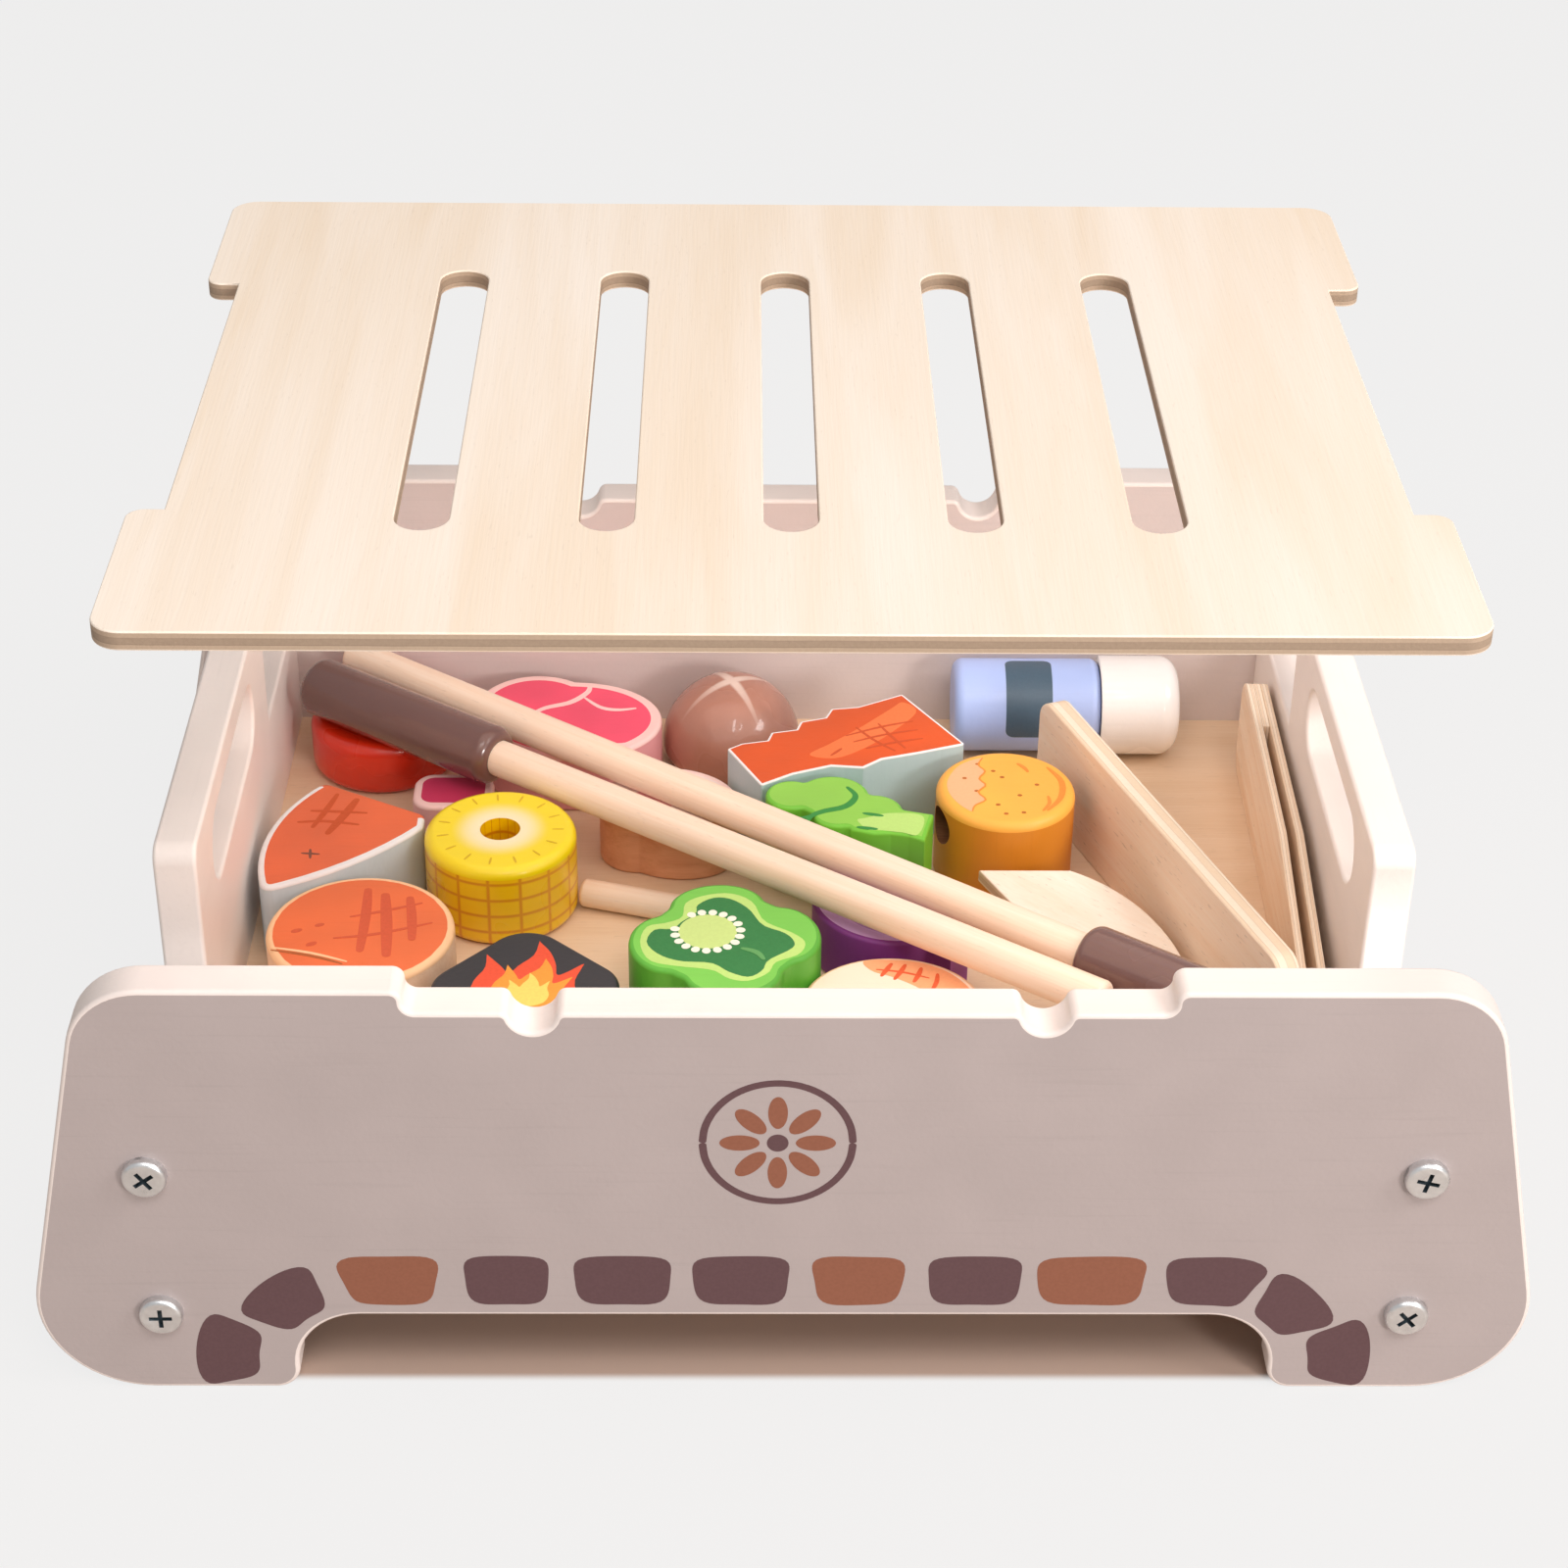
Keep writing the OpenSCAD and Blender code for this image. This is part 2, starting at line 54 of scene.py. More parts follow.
def colour(hexCode):
    # a written sRGB colour as Blender's linear one
    channels = [int(hexCode[i:i + 2], 16) / 255 for i in (1, 3, 5)]
    linear = [c / 12.92 if c <= 0.04045 else ((c + 0.055) / 1.055) ** 2.4 for c in channels]
    return (*linear, 1.0)


def shaded(linear, factor, added=0.0):
    # a linear colour, darker or lighter
    return tuple(min(1.0, c * factor + added) for c in linear[:3]) + (1.0,)


def result(node):
    # the first output that the node's settings leave switched on
    return next(socket for socket in node.outputs if socket.enabled)


def addNode(tree, kind, inputs=None, **settings):
    # one shader node: its settings, then its inputs, where a node or socket is linked and a value is set
    node = tree.nodes.new("ShaderNode" + kind)
    for name, value in settings.items():
        setattr(node, name, value)
    for name, value in (inputs or {}).items():
        if isinstance(value, bpy.types.Node):
            value = result(value)
        if isinstance(value, bpy.types.NodeSocket):
            tree.links.new(value, node.inputs[name])
        else:
            node.inputs[name].default_value = value
    return node


def feed(shader, **sources):
    # links nodes to a shader's inputs, as in Base_Color=node
    for name, node in sources.items():
        shader.id_data.links.new(result(node), shader.inputs[name.replace("_", " ")])


def startMaterial(name, **shaderValues):
    # a material with a Principled shader and Object coordinates
    material = bpy.data.materials.new(name)
    material.use_nodes = True
    tree = material.node_tree
    tree.nodes.clear()
    shader = addNode(tree, "BsdfPrincipled")
    for name, value in shaderValues.items():
        shader.inputs[name.replace("_", " ")].default_value = value
    addNode(tree, "OutputMaterial", {"Surface": shader})
    place = addNode(tree, "TexCoord").outputs["Object"]
    return material, tree, shader, place


def reopen(material):
    # a finished paint's node tree, its shader, and the colour that goes into it
    tree = material.node_tree
    shader = [n for n in tree.nodes if n.type == "BSDF_PRINCIPLED"][0]
    return tree, shader, shader.inputs["Base Color"].links[0].from_socket


def aroundCentre(tree, centre, turn=0, base=0.0):
    # X, Y and Z in mm from a turned piece's own middle line, and the distance from that line
    place = addNode(tree, "TexCoord").outputs["Object"]
    local = addNode(tree, "Mapping", {"Vector": place, "Location": (centre[0] * mm, centre[1] * mm, base),
                                      "Rotation": (0, 0, math.radians(turn)), "Scale": (mm, mm, mm)},
                    vector_type="TEXTURE")
    flat = addNode(tree, "VectorMath", {0: local, 1: (1.0, 1.0, 0.0)}, operation="MULTIPLY")
    reach = addNode(tree, "VectorMath", {0: flat}, operation="LENGTH")
    return addNode(tree, "SeparateXYZ", {0: local}), reach


def workMesh(node, flat=True, even=0.0):
    # a merged copy of a CAD node's mesh, its flat faces whole again; "even" merges closer points, in mm
    bm = bmesh.new()
    bm.from_mesh(nodes[node].data)
    bmesh.ops.remove_doubles(bm, verts=bm.verts[:], dist=0.002 * mm)
    if flat:
        bmesh.ops.dissolve_limit(bm, angle_limit=math.radians(0.6), verts=bm.verts[:], edges=bm.edges[:])
    if even:
        bmesh.ops.remove_doubles(bm, verts=bm.verts[:], dist=even * mm)
    bm.normal_update()
    return bm


def inPlane(face, axis, levels):
    # whether a flat face lies at one of the levels along an axis
    return any(all(abs(v.co[axis] - level) < flush for v in face.verts) for level in levels)


def roundEdges(bm, chosen, radius, steps=3, material=-1):
    # bevels the edges that the test chooses
    edges = [e for e in bm.edges if len(e.link_faces) == 2 and chosen(e)]
    bmesh.ops.bevel(bm, geom=edges, offset=radius, offset_type="OFFSET", segments=steps, profile=0.5,
                    affect="EDGES", clamp_overlap=False, material=material, face_strength_mode="ALL")
    bm.normal_update()


def finishPiece(name, bm, materials, body, replaced=(), sharp=38):
    # turns the work mesh into a smooth-shaded piece that rides on its body; "sharp" is in degrees
    mesh = bpy.data.meshes.new(name)
    bm.to_mesh(mesh)
    bm.free()
    for material in materials:
        mesh.materials.append(material)
    mesh.shade_smooth()
    mesh.set_sharp_from_angle(angle=math.radians(sharp))
    piece = bpy.data.objects.new(name, mesh)
    scene.collection.objects.link(piece)
    weighted = piece.modifiers.new("faceNormals", "WEIGHTED_NORMAL")
    weighted.keep_sharp = True
    weighted.use_face_influence = True  # flat faces stay flat beside their round-overs
    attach(piece, body)
    if replaced:
        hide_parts(*replaced)
    return piece


def onCurve(points, t, closed=False):
    # the point at t, from 0 to 1, on a smooth line through the points
    count = len(points)
    if count == 2 and not closed:
        return Vector(points[0]).lerp(Vector(points[1]), t)

    def pick(i):
        return Vector(points[i % count if closed else min(max(i, 0), count - 1)])

    spans = count if closed else count - 1
    place = min(max(t, 0.0), 1.0) * spans
    first = min(int(place), spans - 1)
    u = place - first
    a, b, c, d = pick(first - 1), pick(first), pick(first + 1), pick(first + 2)
    square, cube = 2 * a - 5 * b + 4 * c - d, 3 * b - a - 3 * c + d
    return 0.5 * (2 * b + (c - a) * u + square * u ** 2 + cube * u ** 3)


# Ink films: how far a print stands proud, how deep it sinks in, the step between crossing strokes, the
# number of steps before the strokes start again from the first, a stroke's shortest part in mm, and the
# degrees between faces from which a film shows an edge
ink = {"proud": 0.03 * mm, "depth": 0.05 * mm, "step": 0.004 * mm, "steps": 40, "part": 0.8, "fewest": 10,
       "sharp": 30}


def thicken(bm, made, slot):
    # makes flat printed faces one colour, and gives them the thickness of their ink, downwards
    faces = list(set(f for v in made for f in v.link_faces))
    for face in faces:
        face.material_index = slot
    before = set(bm.verts)
    bmesh.ops.extrude_face_region(bm, geom=faces, use_keep_orig=True)
    lower = [v for v in bm.verts if v not in before]
    bmesh.ops.translate(bm, verts=lower, vec=(0, 0, -ink["depth"]))
    solid = set(f for v in lower for f in v.link_faces) | set(faces)
    bmesh.ops.recalc_face_normals(bm, faces=list(solid))


def addStroke(bm, points, width, level, taper=0.75, slot=0):
    # a printed stroke through points (x, y), in mm, thinned and rounded towards its ends
    length = sum((Vector(b) - Vector(a)).length for a, b in zip(points, points[1:]))
    segments = max(ink["fewest"], int(length / ink["part"]))
    made = bmesh.ops.create_grid(bm, x_segments=segments, y_segments=2, size=0.5)["verts"]
    for v in made:
        t = (1 - math.cos(math.pi * (v.co.x + 0.5))) / 2  # closer together at the ends
        here = onCurve(points, t)
        ahead = onCurve(points, min(t + 0.01, 1)) - onCurve(points, max(t - 0.01, 0))
        side = Vector((-ahead.y, ahead.x)).normalized()
        fromEnd = min(t, 1 - t) * length
        cap = math.sqrt(max(0.01, 1 - max(0, 1 - fromEnd / (width / 2)) ** 2))
        swell = taper + (1 - taper) * math.sin(math.pi * t)
        spot = here + side * (v.co.y * width * cap * swell)
        v.co = (spot.x * mm, spot.y * mm, level)
    thicken(bm, made, slot)


def addPatch(bm, points, level, slot=0, segments=64):
    # a printed filled shape with a smooth closed outline through points (x, y), in mm
    made = bmesh.ops.create_circle(bm, cap_ends=True, segments=segments, radius=1)["verts"]
    for i, v in enumerate(made):
        spot = onCurve(points, i / segments, closed=True)
        v.co = (spot.x * mm, spot.y * mm, level)
    bmesh.ops.recalc_face_normals(bm, faces=list(set(f for v in made for f in v.link_faces)))
    thicken(bm, made, slot)


def oval(x, y, wide, high=None, turn=0, count=12):
    # outline points of an oval, in mm
    high = high or wide
    turned = Matrix.Rotation(math.radians(turn), 2)
    spots = [turned @ Vector((wide * math.cos(a), high * math.sin(a)))
             for a in [2 * math.pi * i / count for i in range(count)]]
    return [(x + s.x, y + s.y) for s in spots]


def moved(points, x, y, turn=0, size=1):
    # the points enlarged, turned, then shifted
    turned = Matrix.Rotation(math.radians(turn), 2)
    spots = [turned @ (Vector(p) * size) for p in points]
    return [(s.x + x, s.y + y) for s in spots]


# The photograph's camera: angles are in degrees, and "clip" is in metres
cameraFacts = {"place": (-10.13, -589.54, 453.78), "lens": 72.9, "sensor": 36.0, "clip": (0.02, 30),
               "turn": 1.008, "lookDown": 32.59, "roll": 0.735}
lens = bpy.data.cameras.new("photoCamera")
lens.lens = cameraFacts["lens"]
lens.sensor_width = cameraFacts["sensor"]
lens.clip_start, lens.clip_end = cameraFacts["clip"]
camera = bpy.data.objects.new("photoCamera", lens)
scene.collection.objects.link(camera)
looking = (Matrix.Rotation(math.radians(-cameraFacts["turn"]), 4, "Z")
           @ Matrix.Rotation(math.radians(90 - cameraFacts["lookDown"]), 4, "X")
           @ Matrix.Rotation(math.radians(cameraFacts["roll"]), 4, "Z"))
camera.matrix_world = Matrix.Translation(Vector(cameraFacts["place"]) * mm) @ looking
scene.camera = camera
scene.view_settings.view_transform = "Standard"

# Soft lamps from the front: where each stands as degrees to the right of the front and above the table, how
# many metres away, and its size in metres. One shines in under the lifted plate, one over the front panel, as
# the photograph's light does
lamps = {
    "lowLamp": {"right": 34, "above": 17, "away": 1.7, "size": 0.4, "power": 9.8, "tint": "#FFF8F4"},
    "highLamp": {"right": 12, "above": 55, "away": 1.6, "size": 0.6, "power": 10.3, "tint": "#FFFAF8"},
    "rightLamp": {"right": 68, "above": 42, "away": 1.6, "size": 0.6, "power": 9.5, "tint": "#FFFAF8"},
}
lampAim = Vector((0, 0, 0.06))  # metres
for name, facts in lamps.items():
    lamp = bpy.data.lights.new(name, "AREA")
    lamp.shape = "DISK"
    lamp.size = facts["size"]
    lamp.energy = facts["power"]
    lamp.color = colour(facts["tint"])[:3]
    holder = bpy.data.objects.new(name, lamp)
    scene.collection.objects.link(holder)
    swing = Matrix.Rotation(math.radians(facts["right"]), 3, "Z")
    rise = Matrix.Rotation(math.radians(-facts["above"]), 3, "X")
    aim = swing @ rise @ Vector((0, -1, 0))
    holder.location = aim * facts["away"] + lampAim
    holder.rotation_euler = aim.to_track_quat("Z", "Y").to_euler()

# In the photograph the lifted plate throws no shadow on what lies under it, so a weak soft lamp hangs below
underLamp = {"place": (0, -3, 150), "width": 232, "depth": 180, "power": 0.116, "tint": "#FFFCFA", "lean": 9}
lamp = bpy.data.lights.new("underPlateLamp", "AREA")
lamp.shape = "RECTANGLE"
lamp.size = underLamp["width"] * mm
lamp.size_y = underLamp["depth"] * mm
lamp.energy = underLamp["power"]
lamp.color = colour(underLamp["tint"])[:3]
holder = bpy.data.objects.new("underPlateLamp", lamp)
scene.collection.objects.link(holder)
holder.location = Vector(underLamp["place"]) * mm
holder.rotation_euler.x = math.radians(underLamp["lean"])
holder.visible_camera = False
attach(holder, "plate")  # so it stays below the plate when that is lowered

# The room: even pale light on the object, and the photograph's pale grey wherever the camera sees past it
room = {"light": "#FFFFFF", "strength": 0.4, "seen": "#EEEEEE", "mirrored": 0.55}
world = bpy.data.worlds.new("paleRoom")
world.use_nodes = True
scene.world = world
tree = world.node_tree
tree.nodes.clear()
rays = addNode(tree, "LightPath").outputs
seen = addNode(tree, "Math", {0: rays["Is Camera Ray"], 1: rays["Is Transmission Ray"]}, operation="MAXIMUM")
level = addNode(tree, "Mix", {0: rays["Is Glossy Ray"], 2: room["strength"], 3: room["mirrored"]})
ambient = addNode(tree, "Background", {"Color": colour(room["light"]), "Strength": level})
shown = addNode(tree, "Background", {"Color": colour(room["seen"]), "Strength": 1.0})
sky = addNode(tree, "MixShader", {0: seen, 1: ambient, 2: shown})
addNode(tree, "OutputWorld", {"Surface": sky})

# The table: smooth matt laminate, in metres. Outside the object's footprint part of what the camera sees is
# the paper-white of the backdrop; under the box only the real light shows, and the laminate's colour is
# painted darker and browner there: painted shade, with the brownish tint of light bounced off the panels
floorFacts = {"size": 6.0, "shade": "#F4F4F4", "share": 0.9, "under": (0.128, 0.1045), "soft": 0.003,
              "fleck": 0.0009, "flecks": ("#CDC2B9", "#D1C6BD"), "paintedUnderShade": "#B8A193"}
bm = bmesh.new()
bmesh.ops.create_grid(bm, x_segments=1, y_segments=1, size=floorFacts["size"] / 2)
mesh = bpy.data.meshes.new("tableTop")
bm.to_mesh(mesh)
bm.free()
floor = bpy.data.objects.new("tableTop", mesh)
scene.collection.objects.link(floor)
floorLook, tree, shader, place = startMaterial("mattLaminate", Roughness=0.85, Specular_IOR_Level=0.15)
fleck = addNode(tree, "TexNoise", {"Vector": place, "Scale": 1 / floorFacts["fleck"], "Detail": 2.0})
darkFleck, lightFleck = [colour(c) for c in floorFacts["flecks"]]
tone = addNode(tree, "Mix", {0: fleck, 6: darkFleck, 7: lightFleck}, data_type="RGBA")
rays = addNode(tree, "LightPath").outputs
spot = addNode(tree, "SeparateXYZ", {0: place})
outside = []
for axis, limit in zip("XY", floorFacts["under"]):
    size = addNode(tree, "Math", {0: spot.outputs[axis]}, operation="ABSOLUTE")
    edge = {0: size, 1: limit, 2: limit + floorFacts["soft"], 3: 0.0, 4: 1.0}
    outside.append(addNode(tree, "MapRange", edge, interpolation_type="SMOOTHSTEP"))
beyond = addNode(tree, "Math", {0: outside[0], 1: outside[1]}, operation="MAXIMUM")
# painted shade: under the box the laminate takes a darker brown colour
paintedUnderShade = addNode(tree, "Mix", {0: beyond, 6: colour(floorFacts["paintedUnderShade"]), 7: tone}, data_type="RGBA")
feed(shader, Base_Color=paintedUnderShade)
share = addNode(tree, "Math", {0: beyond, 1: floorFacts["share"]}, operation="MULTIPLY")
direct = addNode(tree, "Math", {0: share, 1: rays["Is Camera Ray"]}, operation="MULTIPLY")
paper = addNode(tree, "Emission", {"Color": colour(floorFacts["shade"]), "Strength": 1.0})
both = addNode(tree, "MixShader", {0: direct, 1: shader, 2: paper})
output = [n for n in tree.nodes if n.type == "OUTPUT_MATERIAL"][0]
feed(output, Surface=both)
mesh.materials.append(floorLook)
print("stage: camera, lamps and table are set")


# Water-based paint on sanded wood, sprayed or dipped: an even satin colour with soft clouds in it,
# the fine orange peel of the spray, and the wood's grain just showing through as shallow lines
paintFacts = {"grainLong": 34, "grainWide": 1.1, "cloud": 22, "drop": 1.3, "poresFrom": 0.56, "poresTo": 0.72,
              "poreTint": 0.3, "poreShade": 0.72, "paler": 0.7}


def woodPaint(name, hexCode, roughness=0.42, grain="X", grainDepth=0.35, mottle=0.06, peel=0.02, coat=0.0):
    # "grain" is the axis that the grain runs along, "peel" the relief in mm
    material, tree, shader, place = startMaterial(name, Roughness=roughness, IOR=1.48, Coat_Weight=coat,
                                                  Coat_Roughness=0.07)
    stretch = [paintFacts["grainLong" if axis == grain else "grainWide"] * mm for axis in "XYZ"]
    lines = addNode(tree, "Mapping", {"Vector": place, "Scale": stretch}, vector_type="TEXTURE")
    pores = addNode(tree, "TexNoise", {"Vector": lines, "Scale": 1.0, "Detail": 3.0, "Roughness": 0.6})
    cloudScale, dropScale = 1 / (paintFacts["cloud"] * mm), 1 / (paintFacts["drop"] * mm)
    clouds = addNode(tree, "TexNoise", {"Vector": place, "Scale": cloudScale, "Detail": 2.0})
    drops = addNode(tree, "TexNoise", {"Vector": place, "Scale": dropScale, "Detail": 1.5})
    cloudMix = addNode(tree, "MapRange", {0: clouds, 1: 0.3, 2: 0.7})
    full = colour(hexCode)
    deep = shaded(full, 1 - mottle)
    pale = shaded(full, 1 + mottle * paintFacts["paler"])
    body = addNode(tree, "Mix", {0: cloudMix, 6: deep, 7: pale}, data_type="RGBA")
    poreMix = addNode(tree, "MapRange", {0: pores, 1: paintFacts["poresFrom"], 2: paintFacts["poresTo"],
                                         3: 0.0, 4: grainDepth * paintFacts["poreTint"]})
    veined = addNode(tree, "Mix", {0: poreMix, 6: body, 7: shaded(full, paintFacts["poreShade"])},
                     data_type="RGBA")
    sheen = addNode(tree, "MapRange", {0: clouds, 1: 0.3, 2: 0.7, 3: roughness - 0.05, 4: roughness + 0.06})
    relief = addNode(tree, "Math", {0: pores, 1: -grainDepth, 2: drops}, operation="MULTIPLY_ADD")
    bump = addNode(tree, "Bump", {"Height": relief, "Distance": peel * mm * 2, "Strength": 1.0})
    feed(shader, Base_Color=veined, Roughness=sheen, Normal=bump)
    return material


# Screen-printed ink: a thin flat film, a touch uneven in density, matter than the paint under it
inkLook = {"dot": 0.7, "relief": 0.02, "thinnest": 0.35, "densest": 0.65, "lift": 0.03}


def printInk(name, hexCode, roughness=0.5, speckle=0.07):
    material, tree, shader, place = startMaterial(name, Roughness=roughness, IOR=1.47)
    dots = addNode(tree, "TexNoise", {"Vector": place, "Scale": 1 / (inkLook["dot"] * mm), "Detail": 3.0})
    dense = addNode(tree, "MapRange", {0: dots, 1: inkLook["thinnest"], 2: inkLook["densest"]})
    full = colour(hexCode)
    thin = shaded(full, 1 + speckle, speckle * inkLook["lift"])
    film = addNode(tree, "Mix", {0: dense, 6: thin, 7: full}, data_type="RGBA")
    bump = addNode(tree, "Bump", {"Height": dots, "Distance": inkLook["relief"] * mm, "Strength": 1.0})
    feed(shader, Base_Color=film, Normal=bump)
    return material


# Pale sanded wood under thin clear lacquer, its grain along the turned X: broad soft growth streaks,
# fine fibres and a few short dark pores
woodFacts = {"pore": (3.2, 0.42), "poresFrom": 0.69, "poresTo": 0.76, "poreShade": 0.5, "relief": 0.05,
             "swirl": 0.6}


def sandedWood(name, pale, deep, centre=(0, 0, 0), turn=(0, 0, 0), streak=(150, 6), fibre=(12, 0.5),
               specks=0.5, roughness=0.5, fine=0.3, shine=0.5):
    # "streak" and "fibre" are lengths along and across the grain, and "fine" is the fibres' share of the tone
    material, tree, shader, place = startMaterial(name, Roughness=roughness, IOR=1.5,
                                                  Specular_IOR_Level=shine)
    turn = tuple(math.radians(a) for a in turn)
    centre = tuple(c * mm for c in centre)
    maps = [addNode(tree, "Mapping", {"Vector": place, "Location": centre, "Rotation": turn,
                                      "Scale": (a * mm, b * mm, b * mm)}, vector_type="TEXTURE")
            for a, b in (streak, fibre, woodFacts["pore"])]
    bands = addNode(tree, "TexNoise", {"Vector": maps[0], "Scale": 1.0, "Detail": 3.0,
                                       "Distortion": woodFacts["swirl"]})
    fibres = addNode(tree, "TexNoise", {"Vector": maps[1], "Scale": 1.0, "Detail": 2.0})
    pores = addNode(tree, "TexNoise", {"Vector": maps[2], "Scale": 1.0, "Detail": 1.0})
    mixed = addNode(tree, "Mix", {0: fine, 2: bands, 3: fibres})
    depth = addNode(tree, "MapRange", {0: mixed, 1: 0.33, 2: 0.67})
    body = addNode(tree, "Mix", {0: depth, 6: colour(pale), 7: colour(deep)}, data_type="RGBA")
    rare = addNode(tree, "MapRange", {0: pores, 1: woodFacts["poresFrom"], 2: woodFacts["poresTo"],
                                      3: 0.0, 4: specks})
    dark = shaded(colour(deep), woodFacts["poreShade"])
    flecked = addNode(tree, "Mix", {0: rare, 6: body, 7: dark}, data_type="RGBA")
    sheen = addNode(tree, "MapRange", {0: fibres, 1: 0.3, 2: 0.7, 3: roughness - 0.06, 4: roughness + 0.08})
    bump = addNode(tree, "Bump", {"Height": fibres, "Distance": woodFacts["relief"] * mm, "Strength": 1.0})
    feed(shader, Base_Color=flecked, Roughness=sheen, Normal=bump)
    return material


# The cut edge of plywood, its layers stacked along the turned Z: face veneers and core in turn,
# a thin darker glue line between them, and the saw's fine marks
edgeFacts = {"wave": 0.12, "waveHeight": 0.22, "grain": 1.4, "grainShare": 0.7, "glueTo": 0.16,
             "glueShare": 0.75, "relief": 0.06}


def plyEdge(name, pale, deep, centre=(0, 0, 0), turn=(0, 0, 0), layer=1.3, glue="#8A7566"):
    # "centre" lies on the face where the layers start, and "layer" is the thickness of each
    material, tree, shader, place = startMaterial(name, Roughness=0.62, IOR=1.5)
    local = addNode(tree, "Mapping", {"Vector": place, "Location": tuple(c * mm for c in centre),
                                      "Rotation": tuple(math.radians(a) for a in turn),
                                      "Scale": (mm, mm, mm)},
                    vector_type="TEXTURE")
    height = addNode(tree, "SeparateXYZ", {0: local}).outputs["Z"]
    wave = addNode(tree, "TexNoise", {"Vector": local, "Scale": edgeFacts["wave"], "Detail": 2.0})
    wobble = addNode(tree, "Math", {0: wave, 1: edgeFacts["waveHeight"], 2: height}, operation="MULTIPLY_ADD")
    turns = addNode(tree, "Math", {0: wobble, 1: 1 / layer}, operation="MULTIPLY")
    part = addNode(tree, "Math", {0: turns}, operation="FRACT")
    which = addNode(tree, "Math", {0: turns, 1: 2.0}, operation="FLOORED_MODULO")
    odd = addNode(tree, "Math", {0: which, 1: 1.0}, operation="GREATER_THAN")
    grain = addNode(tree, "TexNoise", {"Vector": local, "Scale": edgeFacts["grain"], "Detail": 3.0})
    tint = addNode(tree, "Math", {0: grain, 1: edgeFacts["grainShare"], 2: odd}, operation="MULTIPLY_ADD")
    tint = addNode(tree, "MapRange", {0: tint, 1: 0.15, 2: 1.6})
    body = addNode(tree, "Mix", {0: tint, 6: colour(pale), 7: colour(deep)}, data_type="RGBA")
    seam = addNode(tree, "MapRange", {0: part, 1: 0.0, 2: edgeFacts["glueTo"], 3: edgeFacts["glueShare"],
                                      4: 0.0})
    glued = addNode(tree, "Mix", {0: seam, 6: body, 7: colour(glue)}, data_type="RGBA")
    bump = addNode(tree, "Bump", {"Height": grain, "Distance": edgeFacts["relief"] * mm, "Strength": 1.0})
    feed(shader, Base_Color=glued, Normal=bump)
    return material


panelFace = woodPaint("greigeSatinPaint", "#B2A6A4", roughness=0.46, grainDepth=0.5, mottle=0.03)
# painted light: the inner faces' greige is made paler to stand in for light under the lifted plate
innerFacePaintedLight = woodPaint("greigeSatinPaintPaintedLighter", "#D8CAC6", roughness=0.46, grainDepth=0.5, mottle=0.03)
creamPaint = woodPaint("creamSatinPaint", "#ECE0DA", grainDepth=0.3, mottle=0.03)
sidePaint = woodPaint("creamSidePaint", "#F6ECE6", grain="Y", mottle=0.03)

# Bright zinc over pressed steel: a hard bluish-white shine with faint cloudy passivation
zincPlate, tree, shader, place = startMaterial("zincPlatedSteel", Metallic=1.0, Roughness=0.28)
cloud = addNode(tree, "TexNoise", {"Vector": place, "Scale": 1 / (1.6 * mm), "Detail": 3.0})
tone = addNode(tree, "Mix", {0: cloud, 6: colour("#CFD1D3"), 7: colour("#EEF0F1")}, data_type="RGBA")
rough = addNode(tree, "MapRange", {0: cloud, 1: 0.3, 2: 0.7, 3: 0.27, 4: 0.4})
feed(shader, Base_Color=tone, Roughness=rough)

# The cross recess is painted dark and a touch mottled: painted shade in the hollow
recessShade, tree, shader, place = startMaterial("recessPaintedShade", Roughness=0.55, Metallic=0.3)
recessMottle = addNode(tree, "TexNoise", {"Vector": place, "Scale": 1 / (0.5 * mm), "Detail": 2.0})
tone = addNode(tree, "Mix", {0: recessMottle, 6: colour("#26323A"), 7: colour("#46545C")}, data_type="RGBA")
feed(shader, Base_Color=tone)
print("stage: finishes are mixed")


# 9 mm boards: greige outside, edges and their small round-over painted cream; inside the box the greige is
# painted paler, as painted light against the shade under the lifted plate.
# The floor board's groove and the surroundings of the screws stay sharp
panelFacts = {"round": 0.9, "steps": 3, "grooveLow": 28.0, "grooveHigh": 33.2, "grooveEnd": 124,
              "screwClear": 5.0}
screwSpots = [(x, z) for x in (-125, 125) for z in (20.5, 55.9)]


def upright(edge):
    # 1 for an edge that runs up, 0 for a level one
    return abs((edge.verts[0].co - edge.verts[1].co).normalized().z)


def besideGroove(spot):
    return panelFacts["grooveLow"] * mm < spot.z < panelFacts["grooveHigh"] * mm


def makePanel(name, node):
    low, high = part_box(node)
    bm = workMesh(node, even=0.05)  # the outline's slivers would crack under the bevel

    def onFace(face):
        # the two broad faces, not the floor of the groove
        return inPlane(face, 1, (low.y, high.y))

    def outline(edge):
        a, b = edge.link_faces
        if onFace(a) == onFace(b):
            return False
        middle = (edge.verts[0].co + edge.verts[1].co) / 2
        nearScrew = any(math.hypot(middle.x - x * mm, middle.z - z * mm) < panelFacts["screwClear"] * mm
                        for x, z in screwSpots)
        alongGroove = besideGroove(middle) and abs(middle.x) < panelFacts["grooveEnd"] * mm
        return not nearScrew and not (alongGroove and upright(edge) < 0.05)

    for face in bm.faces:
        inside = face.calc_center_median().y * face.normal.y < 0
        face.material_index = 1 if not onFace(face) else 2 if inside else 0
    roundEdges(bm, outline, panelFacts["round"] * mm, panelFacts["steps"], 1)
    return finishPiece(name, bm, [panelFace, creamPaint, innerFacePaintedLight], "box", [node])


makePanel("frontPanel", "front_panel")
makePanel("backPanel", "back_panel")

